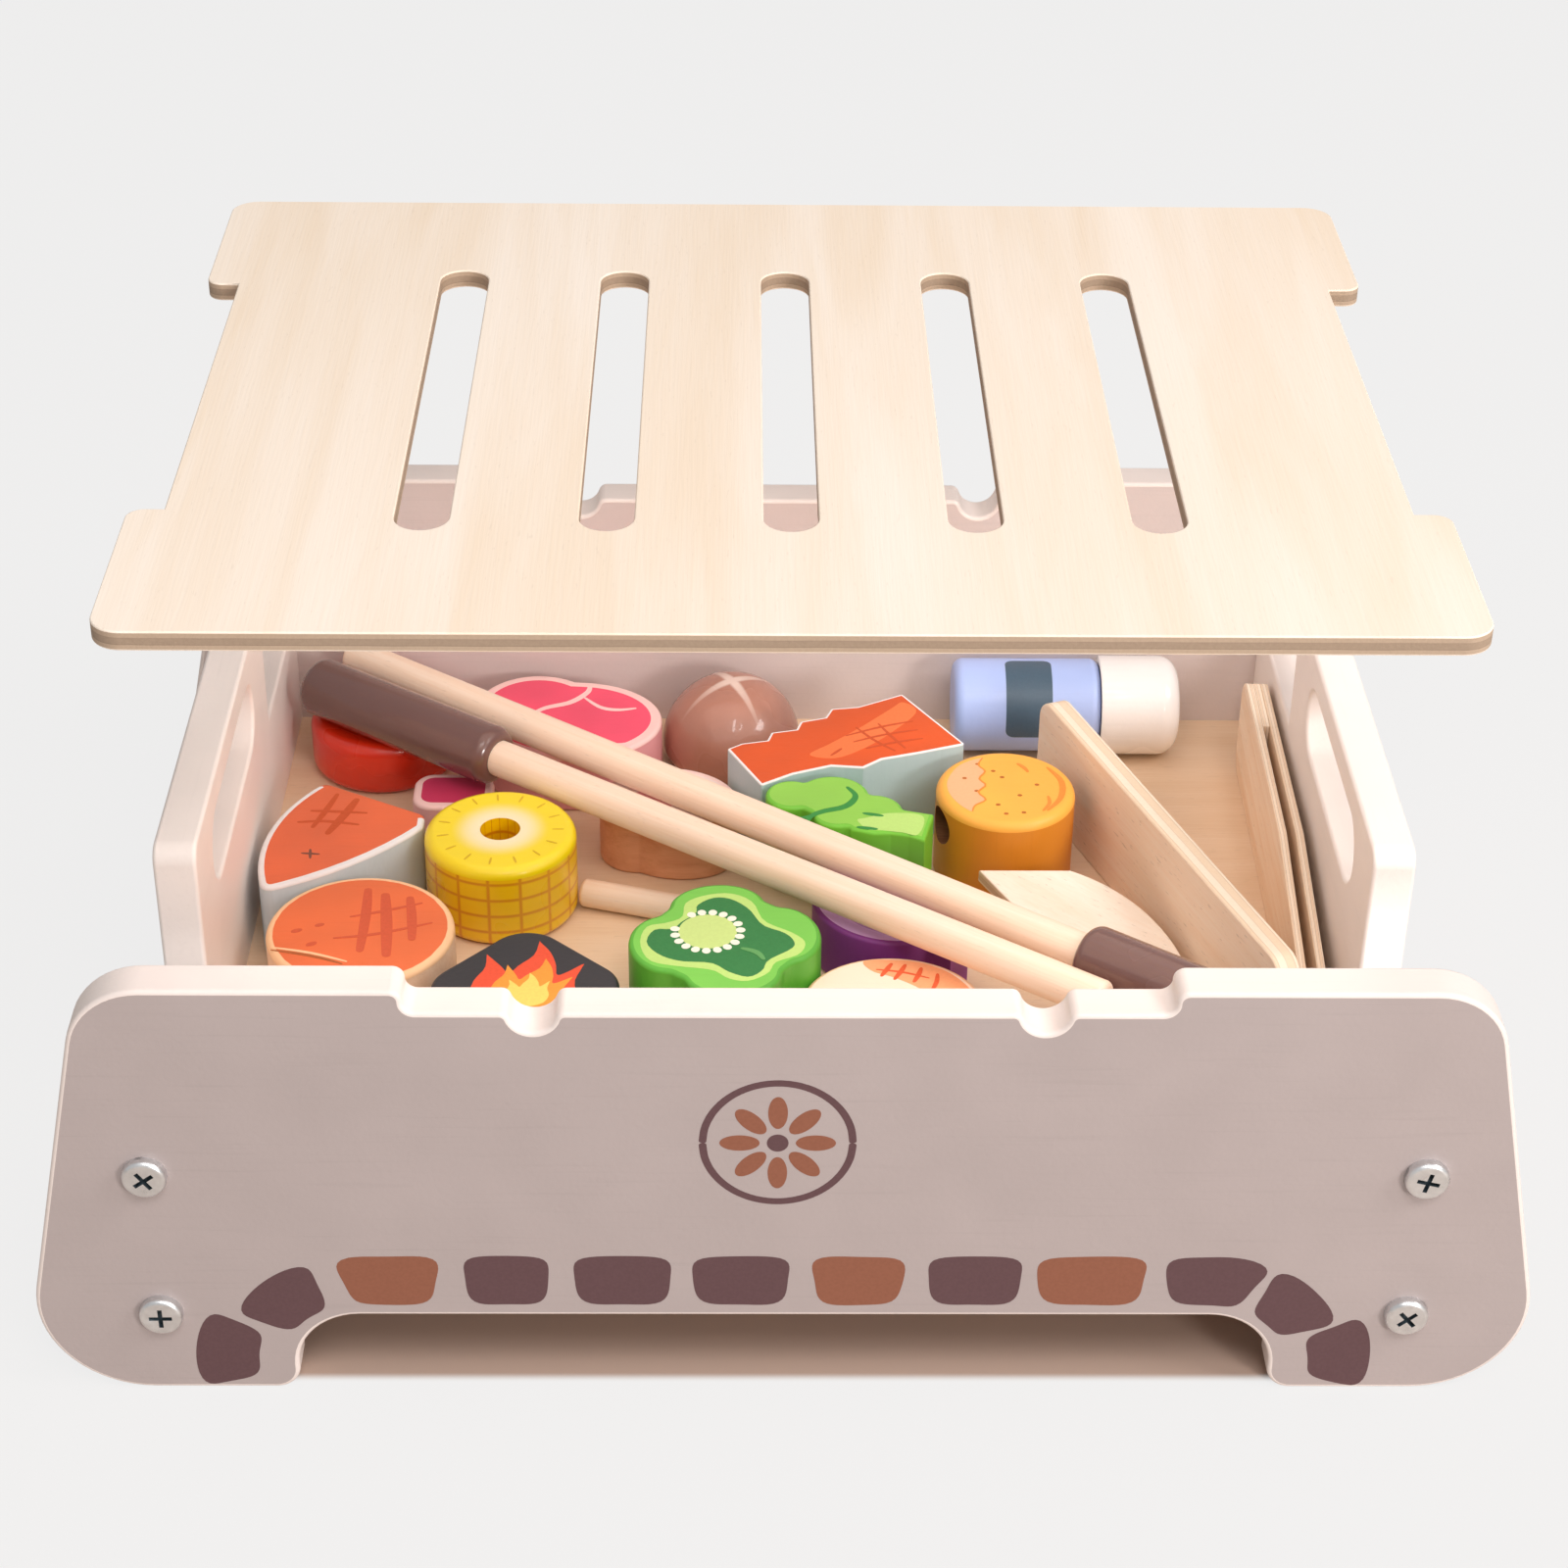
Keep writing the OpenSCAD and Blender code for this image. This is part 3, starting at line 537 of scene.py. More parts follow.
# Side panels: the same board, cream all over, with a hand slot. Their ends, against the front and back
# panels, and their groove stay sharp
sideFacts = {"round": 0.9, "steps": 3, "endFrom": 98.5, "grooveEnd": 99.9}
for side in ("left", "right"):
    node = f"side_panel_{side}"
    planes = [corner.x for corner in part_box(node)]
    bm = workMesh(node)

    def outline(edge, planes=planes):
        a, b = edge.link_faces
        middle = (edge.verts[0].co + edge.verts[1].co) / 2
        atPanel = max(abs(v.co.y) for v in edge.verts) > sideFacts["endFrom"] * mm and upright(edge) > 0.9
        inGroove = besideGroove(middle) and abs(middle.y) < sideFacts["grooveEnd"] * mm
        return inPlane(a, 0, planes) != inPlane(b, 0, planes) and not inGroove and not atPanel

    roundEdges(bm, outline, sideFacts["round"] * mm, sideFacts["steps"])
    finishPiece("sidePanel" + side.title(), bm, [sidePaint], "box", [node])

# Pan head screws, pressed and zinc plated
screwFacts = {"headFrom": 109.3, "recess": 2.5, "sharp": 34}


def inRecess(v):
    # whether a point of a screw lies in its head's cross recess
    fromAxis = min(math.hypot(v.co.x - x * mm, v.co.z - z * mm) for x, z in screwSpots)
    return abs(v.co.y) > screwFacts["headFrom"] * mm and fromAxis < screwFacts["recess"] * mm


for side in ("front", "back"):
    node = side + "_screws"
    bm = workMesh(node)
    for face in bm.faces:
        face.material_index = int(all(inRecess(v) for v in face.verts))
    finishPiece(side + "PanHeads", bm, [zincPlate, recessShade], "box", [node],
                sharp=screwFacts["sharp"])
print("stage: box panels are dressed")


floorWood = sandedWood("floorPlywood", "#F2D6B9", "#E8C7A4", streak=(170, 12), specks=0.2, roughness=0.55)
finishPiece("floorBoard", workMesh("floor_board"), [floorWood], "box", ["floor_board"])

# Grill plate: 4 mm three-ply basswood, cut by laser, so its edges are a darker grey-brown
plateFacts = {"round": 0.35, "steps": 2, "layer": 1.34}
planes = [corner.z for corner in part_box("grill_plate")]
plateWood = sandedWood("basswoodFace", "#FCEEDF", "#F5E1CA", turn=(0, 0, 90), streak=(170, 15),
                       fibre=(16, 0.6), specks=0.12, roughness=0.56, fine=0.14, shine=0.3)
plateEdge = plyEdge("laserCutEdge", "#BBA48D", "#9C8773", centre=(0, 0, planes[0] / mm),
                    layer=plateFacts["layer"], glue="#84705F")
bm = workMesh("grill_plate")
for face in bm.faces:
    face.material_index = 0 if inPlane(face, 2, planes) else 1
roundEdges(bm, lambda e: inPlane(e.link_faces[0], 2, planes) != inPlane(e.link_faces[1], 2, planes),
           plateFacts["round"] * mm, plateFacts["steps"], 0)
finishPiece("grillPlate", bm, [plateWood, plateEdge], "plate", ["grill_plate"])
print("stage: floor board and grill plate are dressed")


# Skewers: beech dowels, each given by where its two ends lie, two of them with a turned grip in gloss plum
gripFacts = {"colour": "#6E4B44", "roughness": 0.24, "coat": 0.6}
gripPaint = woodPaint("plumGlossPaint", gripFacts["colour"], roughness=gripFacts["roughness"],
                      coat=gripFacts["coat"], grainDepth=0.25, mottle=0.08)
skewers = {"front": ((-113.5, 80.1), (68, -49.5)), "rear": ((-106, 94.5), (98, -56.6)),
           "short": ((-45.8, 17.3), (-6, 5.4))}
skewerHeight = 54.2
turnedSharp = 50  # degrees between faces from which a turned piece shows an edge
for name, (a, b) in skewers.items():
    along = math.degrees(math.atan2(b[1] - a[1], b[0] - a[0]))
    dowel = sandedWood(name + "Dowel", "#FFE8D4", "#F9D8BC", centre=(*a, skewerHeight), turn=(0, 0, along),
                       streak=(120, 3.4), fibre=(14, 0.4), specks=0.22, roughness=0.5)
    rod = "short_rod" if name == "short" else name + "_skewer_rod"
    finishPiece(name + "Rod", workMesh(rod, flat=False), [dowel], "box", [rod],
                sharp=turnedSharp)
    if name != "short":
        grip = name + "_skewer_grip"
        finishPiece(name + "Grip", workMesh(grip, flat=False), [gripPaint], "box", [grip],
                    sharp=turnedSharp)
print("stage: skewers are dressed")


# Flat plywood tools: the share of a face's normal that makes it a broad face, and the corners that are eased
plyFacts = {"faceFrom": 0.7, "corner": 50, "steps": 2}


def dressPly(name, node, looks, way, radius):
    # broad faces, square to "way", take the first look and sawn edges the second
    bm = workMesh(node)
    for face in bm.faces:
        face.material_index = 0 if abs(face.normal.dot(way)) > plyFacts["faceFrom"] else 1
    roundEdges(bm, lambda e: e.calc_face_angle() > math.radians(plyFacts["corner"]), radius * mm,
               plyFacts["steps"])
    finishPiece(name, bm, looks, "box", [node])


# Tongs: two thin bowed plywood arms and a spacer, standing on edge, so their layers show from above
tongs = {"middle": (116.6, 79, 40), "turn": 89, "start": (112.95, 79, 32.6), "layer": 0.64, "round": 0.25}
tongsWood = sandedWood("tongsFace", "#FFE9D2", "#F4D3B2", centre=tongs["middle"], turn=(0, 0, tongs["turn"]),
                       streak=(120, 4), roughness=0.5)
tongsEdge = plyEdge("tongsLayers", "#FBE9D4", "#EBD0B2", centre=tongs["start"],
                    turn=(0, 90, tongs["turn"] - 90), layer=tongs["layer"], glue="#8E8078")
for node, name in (("tongs_arms", "tongsArms"), ("tongs_spacer", "tongsSpacer")):
    dressPly(name, node, [tongsWood, tongsEdge], Vector((1, 0, 0)), tongs["round"])

# Serving board on its long edge, and the turner's blade
board = {"from": (65.2, 64.5), "to": (107.3, -46.6), "middle": 45, "start": 32.6, "layer": 1.85, "round": 0.5}
boardTurn = math.degrees(math.atan2(board["to"][1] - board["from"][1], board["to"][0] - board["from"][0]))
boardWood = sandedWood("boardFace", "#FFEBD6", "#F9DCC0", centre=(*board["from"], board["middle"]),
                       turn=(0, 0, boardTurn), streak=(110, 5), roughness=0.52)
boardEdge = plyEdge("boardLayers", "#F8E8D4", "#EBD2B4", centre=(*board["from"], board["start"]),
                    turn=(90, 0, boardTurn), layer=board["layer"], glue="#CDB294")
acrossBoard = Vector((math.cos(math.radians(boardTurn + 90)), math.sin(math.radians(boardTurn + 90)), 0))
dressPly("servingBoard", "serving_board", [boardWood, boardEdge], acrossBoard, board["round"])

blade = {"middle": (66, -10, 40), "start": (66, -29.5, 32.7), "lean": 15, "turn": -35, "layer": 1.34,
         "round": 0.5}
bladeWood = sandedWood("bladeFace", "#FBEEDF", "#F4E0CB", centre=blade["middle"],
                       turn=(blade["lean"], 0, blade["turn"]), streak=(90, 5), roughness=0.5)
bladeEdge = plyEdge("bladeLayers", "#EBD0AE", "#D3B08A", centre=blade["start"], turn=(blade["lean"], 0, 0),
                    layer=blade["layer"], glue="#A58A72")
dressPly("turnerBlade", "turner_blade", [bladeWood, bladeEdge], Vector((0, 0, 1)), blade["round"])

# Salt shaker lying on its side: dipped blue body, gloss white cap
shakerPaint = woodPaint("periwinklePaint", "#AFC4F6", roughness=0.36, grainDepth=0.25, coat=0.1)
capPaint = woodPaint("capGlossWhite", "#FCFAF8", roughness=0.22, coat=0.4, grainDepth=0.15, mottle=0.03)
for node, name, look, finish in (("salt_shaker_body", "shakerBody", shakerPaint, "shaker_paint"),
                                 ("salt_shaker_cap", "shakerCap", capPaint, "cap_paint")):
    finishPiece(name, workMesh(node, flat=False), [look], "box", [node], sharp=turnedSharp)

# A bare dark label wraps round the shaker's body: a thin film with round corners, bent to the wood. "from"
# and "to" are along X, "start" and "end" are degrees round the body's axis
label = {"from": 56.0, "to": 67.4, "start": -10, "end": 104, "corner": 2.2, "axisY": 87.2, "radius": 11.5,
         "steps": (10, 36), "sharp": 40}
labelFilm = printInk("labelSlateFilm", "#455C6E", roughness=0.38, speckle=0.05)
bodyLow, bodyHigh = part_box("salt_shaker_body")
axisY, axisZ = label["axisY"] * mm, (bodyLow.z + bodyHigh.z) / 2
bm = bmesh.new()
made = bmesh.ops.create_grid(bm, x_segments=label["steps"][0], y_segments=label["steps"][1], size=1)["verts"]
half = (label["to"] - label["from"]) / 2
arcLength = math.radians(label["end"] - label["start"]) * label["radius"]
reach = label["radius"] * mm + ink["proud"]
for v in made:
    along = (1 - math.cos(math.pi * (v.co.y + 1) / 2)) / 2
    fromEnd = min(along, 1 - along) * arcLength
    bite = max(0.0, 1 - fromEnd / label["corner"])
    wide = half - label["corner"] * (1 - math.sqrt(max(0.0, 1 - bite * bite)))
    turn = math.radians(label["start"]) + along * arcLength / label["radius"]
    x = (label["from"] + half + v.co.x * wide) * mm
    v.co = (x, axisY - reach * math.sin(turn), axisZ + reach * math.cos(turn))
bmesh.ops.recalc_face_normals(bm, faces=bm.faces[:])
if sum(f.normal.y * (axisY - f.calc_center_median().y) for f in bm.faces) > 0:
    bmesh.ops.reverse_faces(bm, faces=bm.faces[:])
bmesh.ops.solidify(bm, geom=bm.faces[:], thickness=ink["depth"])
bmesh.ops.recalc_face_normals(bm, faces=bm.faces[:])
finishPiece("shakerLabel", bm, [labelFilm], "box", sharp=label["sharp"])
print("stage: tools are dressed")


# Play food: sawn or turned wood, painted, its inner drawing printed on the top. In a food's dictionary
# "bands" gives (width, material) from the outline of the top inwards, a width of 0 fills what is left,
# "edgeSlot" is the material of the rim, and "at" is where its print's own middle lies. Material 0 is the side
def cutFood(name, facts, materials):
    node = facts["node"]
    radius = facts.get("round", 0)
    low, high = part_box(node)
    bm = workMesh(node, even=0.25 if radius else 0.0)  # even points keep the round-over whole

    def isTop(face):
        return inPlane(face, 2, [high.z])

    def rim(edge):
        middle = (edge.verts[0].co + edge.verts[1].co) / 2
        ends = abs(middle.z - high.z) < flush or abs(middle.z - low.z) < flush
        return ends and edge.calc_face_angle() > math.radians(30)

    if radius:
        roundEdges(bm, rim, radius * mm, facts.get("steps", 3), 0)
    if "edgeSlot" in facts:
        rimLow = high.z - (radius or facts["turnedRim"]) * 0.98 * mm  # a little above the rim's lower edge
        for face in bm.faces:
            if not isTop(face) and face.calc_center_median().z > rimLow:
                face.material_index = facts["edgeSlot"]
    top = [f for f in bm.faces if isTop(f)]
    for width, slot in facts["bands"]:
        band = top
        if width:
            band = bmesh.ops.inset_region(bm, faces=top, thickness=width * mm, use_even_offset=True,
                                          use_boundary=True)["faces"]
        for face in band:
            face.material_index = slot
    return finishPiece(name, bm, materials, "box", [node], sharp=facts.get("sharp", 30))


def printOn(name, facts, inks, strokes=(), patches=()):
    # strokes: (points, width, taper, ink number), patches: (points, ink number); points in mm from "at"
    bm = bmesh.new()
    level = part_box(facts["node"])[1].z + ink["proud"]
    at = facts["at"]
    count = 0
    for points, slot in patches:
        addPatch(bm, moved(points, *at), level + count * ink["step"], slot)
        count += 1
    for points, width, taper, slot in strokes:
        addStroke(bm, moved(points, *at), width, level + (count % ink["steps"]) * ink["step"], taper, slot)
        count += 1
    return finishPiece(name, bm, inks, "box", sharp=ink["sharp"])


foodMiddle = 40  # about half-way up the wooden foods

# Salmon steak: orange top, a pale skin along its back and belly but not on the cut, grill marks across
steak = {"node": "salmon_steak", "slot": "salmon_paint", "at": (-100, 16), "round": 0.8, "edgeSlot": 1,
         "bands": [(0.7, 1), (0, 2)], "cut": (-6.4, 23.3), "cutTurn": -28.9, "ring": 1.8}
steakSide = woodPaint("paleFishSide", "#D3E1EA", grain="Z", mottle=0.05)
steakSkin = woodPaint("fishSkinWhite", "#F2F0F0", mottle=0.03)
steakTop = woodPaint("salmonOrangePaint", "#E86C40", mottle=0.1)
steakPiece = cutFood("salmonSteak", steak, [steakSide, steakSkin, steakTop])
cutTurn = math.radians(steak["cutTurn"])
across = Vector((-math.sin(cutTurn), math.cos(cutTurn)))
cutStart = (Vector(steak["at"]) + Vector(steak["cut"])) * mm
for polygon in steakPiece.data.polygons:
    # the skin stops at the straight cut, whose round-over stays orange
    if polygon.material_index == 1 and (polygon.center.xy - cutStart).dot(across) > -steak["ring"] * mm:
        polygon.material_index = 2
steakInks = [printInk("salmonMarkInk", "#C8501E"), printInk("salmonCrossInk", "#7E4A38")]
printOn("salmonSteakMarks", steak, steakInks, strokes=[
    ([(1.6, 16.6), (-0.8, 9.5), (-4.0, 1.4)], 2.1, 0.6, 0),
    ([(-3.2, 18.7), (-5.2, 11.5), (-7.6, 4.1)], 1.5, 0.6, 0),
    ([(-8.8, 11.3), (-2.8, 11.0), (4.5, 10.4)], 1.0, 0.5, 0),
    ([(-11.3, 6.5), (-4.6, 6.9), (3.1, 5.5)], 1.0, 0.5, 0),
    ([(-8.9, -6.3), (-4.6, -6.7)], 0.7, 0.6, 1),
    ([(-7.0, -4.6), (-6.6, -8.5)], 0.7, 0.6, 1)])

# Meat patty: a turned disc, its orange top stopped short of the bare peach-coloured rim
patty = {"node": "meat_patty", "slot": "patty_paint", "at": (-92.9, -17.2), "bands": [(0.35, 1), (0, 2)],
         "edgeSlot": 1, "turnedRim": 1.2, "sharp": 40}
pattySide = sandedWood("pattyWoodSide", "#FFDDBF", "#F4C9A5", centre=(*patty["at"], foodMiddle),
                       streak=(60, 3), specks=0.3, roughness=0.5)
pattyRim = woodPaint("pattyRimPeach", "#FFCE9E", mottle=0.04)
pattyTop = woodPaint("pattyOrangePaint", "#F0743F", mottle=0.1)
cutFood("meatPatty", patty, [pattySide, pattyRim, pattyTop])
pattyInks = [printInk("pattyMarkInk", "#D85A34"), printInk("pattyCutHighlightInk", "#FFCE9E", speckle=0.03),
             printInk("pattyShadeInk", "#B0602C")]
printOn("meatPattyMarks", patty, pattyInks, strokes=[
    ([(0.2, 15.8), (0.7, 5), (0.7, -8.7)], 2.3, 0.7, 0),
    ([(4.2, 13.9), (5.6, 2), (6.7, -10.5)], 2.6, 0.7, 0),
    ([(9.8, 12.6), (11.0, 4), (11.7, -4.3)], 2.2, 0.7, 0),
    ([(-2.8, 4.6), (4.5, 6.9), (12.9, 10.1)], 0.9, 0.5, 0),
    ([(-5.6, -3.5), (3.6, -1.9), (15.7, 2.5)], 0.9, 0.5, 0),
    # the cut line: a brown painted shadow, and beside it a peach painted highlight
    ([(-18.7, -8.0), (-9.9, -10.1), (-2.5, -13.1)], 0.8, 0.4, 2),
    ([(-18.9, -7.0), (-9.9, -9.1), (-1.6, -12.3)], 0.8, 0.5, 1)], patches=[
    (oval(-13.9, -0.7, 1.3, 0.7, 25), 0), (oval(-9.1, 1.5, 1.1, 0.6, 20), 0),
    (oval(-10.1, -5.7, 1.3, 0.7, 30), 0)])

# Tomato half: turned, gloss red
tomatoPaint = woodPaint("tomatoGlossRed", "#DC2C0E", roughness=0.26, coat=0.5, mottle=0.1, grainDepth=0.25)
finishPiece("tomatoHalf", workMesh("tomato_half", flat=False), [tomatoPaint], "box",
            ["tomato_half"], sharp=turnedSharp)

# Beef steak: pink with a pale fat rim and branching marbling
beef = {"node": "beef_steak", "slot": "beef_paint", "at": (-50.5, 74.5), "round": 1.0, "edgeSlot": 1,
        "bands": [(1.7, 1), (0, 2)]}
beefSide = woodPaint("beefSidePaint", "#EFA9AE", grain="Z", mottle=0.08)
beefFat = woodPaint("beefFatPaint", "#FFD3CE", mottle=0.04)
beefTop = woodPaint("beefPinkPaint", "#F85474", mottle=0.1)
cutFood("beefSteak", beef, [beefSide, beefFat, beefTop])
fatInk = printInk("beefMarbleInk", "#FFD4D0", speckle=0.04)
printOn("beefSteakMarbling", beef, [fatInk], strokes=[
    ([(3.7, 16.2), (3.2, 12.5), (-0.8, 7.7), (-7.1, 4.8), (-11.7, 0.1)], 1.7, 0.5, 0),
    ([(2.5, 10.1), (6.7, 5.4), (11, 4.2), (15.6, 5.0)], 1.3, 0.4, 0),
    ([(6.9, -9.9), (10, -11.8), (14, -11.4), (17.2, -8.4)], 1.1, 0.4, 0)])

# Beef cube: darker pink with a pale edge
cube = {"node": "beef_cube", "slot": "beef_paint", "round": 1.0, "edgeSlot": 1, "bands": [(1.0, 1), (0, 2)]}
cubeSide = woodPaint("beefCubeSide", "#F0B8BA", grain="Z", mottle=0.08)
cubeTop = woodPaint("beefCubeTop", "#D23C64", mottle=0.1)
cutFood("beefCube", cube, [cubeSide, beefFat, cubeTop])

# Ham slice: cream with soft pink patches, its side bare wood
ham = {"node": "ham_slice", "slot": "ham_paint", "at": (-25, 38.9), "round": 0.9, "edgeSlot": 1,
       "bands": [(0.8, 1), (0, 2)]}
hamSide = sandedWood("hamWoodSide", "#F2B489", "#DE9A72", centre=(*ham["at"], foodMiddle), streak=(50, 3),
                     specks=0.2, roughness=0.5)
hamRim = woodPaint("hamRimPaint", "#FFDAD2", mottle=0.04)
hamTop = woodPaint("hamCreamPaint", "#FFE6E0", mottle=0.04)
cutFood("hamSlice", ham, [hamSide, hamRim, hamTop])
hamInk = printInk("hamPinkInk", "#FBB8BC", speckle=0.03)
printOn("hamSlicePatches", ham, [hamInk], patches=[
    ([(-10, 7), (-6.4, 9.6), (-1, 9.4), (3.8, 7.6), (1.5, 3.8), (-3, 4.8), (-8, 3.6)], 0),
    ([(5.5, 4), (9, 4.6), (12, 1.6), (11, -2.5), (6.5, -2), (4.5, 0.8)], 0),
    ([(-9, 0.5), (-4.5, 1.5), (0.5, -1.5), (-1, -5.5), (-6.5, -6), (-10.5, -3)], 0)])

# Mushroom cap: turned dome, gloss brown, with a pale cross on its crown that thins and fades outwards
mushroom = {"centre": (-11.5, 82.0), "brown": "#B27C69", "cross": "#F0DACE", "turn": 30, "arm": 1.5,
            "reach": 14.5, "wide": 1.3, "narrow": 0.25, "fadeFrom": 2.0, "strength": 0.85}
mushroomPaint = woodPaint("mushroomGlossPaint", mushroom["brown"], roughness=0.26, coat=0.5, mottle=0.1,
                          grainDepth=0.25)
tree, shader, under = reopen(mushroomPaint)
parts, flatReach = aroundCentre(tree, mushroom["centre"], mushroom["turn"])
slim = addNode(tree, "MapRange", {0: flatReach, 1: 0.0, 2: mushroom["reach"], 3: mushroom["wide"],
                                  4: mushroom["narrow"]})
arms = []
for axis in "XY":
    away = addNode(tree, "Math", {0: parts.outputs[axis]}, operation="ABSOLUTE")
    away = addNode(tree, "Math", {0: away, 1: slim}, operation="DIVIDE")
    arm = {0: away, 1: mushroom["arm"] * 0.35, 2: mushroom["arm"], 3: 1.0, 4: 0.0}
    arms.append(addNode(tree, "MapRange", arm, interpolation_type="SMOOTHSTEP"))
cross = addNode(tree, "Math", {0: arms[0], 1: arms[1]}, operation="MAXIMUM")
fade = addNode(tree, "MapRange", {0: flatReach, 1: mushroom["fadeFrom"], 2: mushroom["reach"],
                                  3: mushroom["strength"], 4: 0.0})
shown = addNode(tree, "Math", {0: cross, 1: fade}, operation="MULTIPLY")
tone = addNode(tree, "Mix", {0: shown, 6: under, 7: colour(mushroom["cross"])}, data_type="RGBA")
feed(shader, Base_Color=tone)
finishPiece("mushroomCap", workMesh("mushroom_cap", flat=False), [mushroomPaint], "box",
            ["mushroom_cap"], sharp=turnedSharp)

# Salmon slice: long cut with a light band and thin hatching. Its teeth leave room for a small round-over only
fishSlice = {"node": "salmon_slice", "slot": "salmon_paint", "at": (0, 0), "round": 0.3, "edgeSlot": 1,
             "steps": 2, "bands": [(0.3, 1), (0, 2)]}
sliceSide = woodPaint("sliceBlueGreySide", "#BCD2D6", grain="Z", mottle=0.06)
sliceTop = woodPaint("sliceOrangePaint", "#DC561C", mottle=0.1)
cutFood("salmonSlice", fishSlice, [sliceSide, steakSkin, sliceTop])
sliceInks = [printInk("sliceBandInk", "#F07840", speckle=0.05), printInk("sliceHatchInk", "#C84C1C")]
lightBand = [(7, 44.5), (12, 49.5), (19, 56.5), (27, 65.5), (30, 68.5), (33, 64), (27, 55), (20, 47.5),
             (13, 43)]
printOn("salmonSliceMarks", fishSlice, sliceInks, patches=[(lightBand, 0)], strokes=[
    ([(15.7, 53.0), (24, 57), (32.1, 59.9)], 0.8, 0.5, 1),
    ([(17.4, 50.2), (25, 53.6), (33.1, 55.9)], 0.8, 0.5, 1),
    ([(20.3, 47.4), (27, 50), (34.1, 52.0)], 0.8, 0.5, 1),
    ([(18.2, 57.0), (22.5, 51), (27.3, 46.3)], 0.8, 0.5, 1),
    ([(23.6, 58.7), (26.5, 53), (29.7, 47.5)], 0.8, 0.5, 1),
    ([(11.9, 44.0), (14.7, 47.4)], 0.8, 0.5, 1)])

# Broccoli: light green slab with a dark green branching line for the head and a paler stem
broccoli = {"node": "broccoli_floret", "slot": "broccoli_paint", "at": (12, 22), "round": 0.9,
            "bands": [(0, 1)]}
broccoliSide = woodPaint("broccoliSideGreen", "#74C438", grain="Z", mottle=0.1)
broccoliTop = woodPaint("broccoliTopGreen", "#92D050", mottle=0.08)
cutFood("broccoliFloret", broccoli, [broccoliSide, broccoliTop])
broccoliInks = [printInk("broccoliDarkInk", "#2F8A3A"), printInk("broccoliStemInk", "#B8DE7A", speckle=0.04)]
branch = [(3.3, 8.6), (5.2, 5.2), (4.5, 2.3), (2.2, -0.2), (-2.3, -1.9), (-5.1, -3.9), (-6.2, -6.8)]
stem = [(5.4, -5.6), (7.4, -4.6), (13, -2.6), (20.4, -3.8), (19.0, -11.4), (15.4, -10.6), (10, -9.6),
        (7.6, -9.3)]
printOn("broccoliMarks", broccoli, broccoliInks, patches=[(stem, 1)], strokes=[
    (branch, 1.8, 0.45, 0),
    ([(-10.9, -5.6), (-8, -5.1), (-4.9, -3.6)], 1.2, 0.5, 0),
    ([(6.6, -2.6), (11.5, -3.8)], 1.2, 0.5, 0),
    ([(5.1, -8.4), (10, -9.3)], 1.2, 0.5, 0)])

# Potato half: orange-yellow with a pinkish side bounded by a wavy line, brown dots, and shading lines
potato = {"node": "potato_half", "slot": "potato_paint", "at": (52.4, 31.6), "bands": [(0, 1)], "edgeSlot": 1,
          "turnedRim": 2.2, "sharp": 45}
bore = {"height": 48.7, "turn": 18, "radius": 4.75}
potatoSide = woodPaint("potatoSideOrange", "#DE8C26", grain="Z", mottle=0.1)
potatoTop = woodPaint("potatoTopOrange", "#FFB54A", mottle=0.06)
# painted shade: the hole's wood is given a very dark brown
potatoHoleShade = sandedWood("potatoHolePaintedShade", "#8A5A34", "#5E3418", specks=0.3, roughness=0.6)
potatoPiece = cutFood("potatoHalf", potato, [potatoSide, potatoTop, potatoHoleShade])
boreWay = Vector((math.cos(math.radians(bore["turn"])), math.sin(math.radians(bore["turn"])), 0))
through = Vector((*potato["at"], bore["height"])) * mm
for polygon in potatoPiece.data.polygons:
    # the skewer hole is bare wood painted very dark: painted shade inside the hole
    spots = [potatoPiece.data.vertices[i].co - through for i in polygon.vertices]
    if all((s - boreWay * s.dot(boreWay)).length < bore["radius"] * mm for s in spots):
        polygon.material_index = 2
potatoInks = [printInk("potatoDotInk", "#B5651E"), printInk("potatoBlushInk", "#FFB486", speckle=0.04),
              printInk("potatoShadeInk", "#F08C34")]
dots = [(-6.0, 9.8), (-2.5, 6.8), (-0.6, 4.1), (-9.4, 3.6), (7.3, 0.9), (3.0, -3.7), (-6.9, -1.9),
        (-2.3, -7.7), (-0.7, -11.5), (3.4, -11.0)]
wavy = [(-4.6, 12.6), (-5.8, 9.4), (-4.4, 6.6), (-6.0, 3.4), (-4.6, 0.6), (-6.6, -2.4), (-5.0, -5.6),
        (-7.6, -8.0), (-8.4, -10.6)]
blush = wavy + [(-11.2, -7.6), (-13.2, -3.2), (-13.6, 1.4), (-12.3, 5.8), (-9.6, 9.9)]
potatoPatches = [(blush, 1)] + [(oval(x, y, 0.55, 0.45), 0) for x, y in dots]
printOn("potatoMarks", potato, potatoInks, patches=potatoPatches, strokes=[
    (wavy, 0.5, 0.7, 2),
    ([(3.3, 10.2), (4.8, 8.4), (5.7, 6.3)], 1.0, 0.5, 2),
    ([(9.5, -3.9), (9.6, -7.1), (7.8, -10.3)], 0.9, 0.5, 2),
    ([(10.2, 8.6), (13.1, 2.5), (12.4, -4.6), (8.8, -10.2)], 1.5, 0.3, 2)])

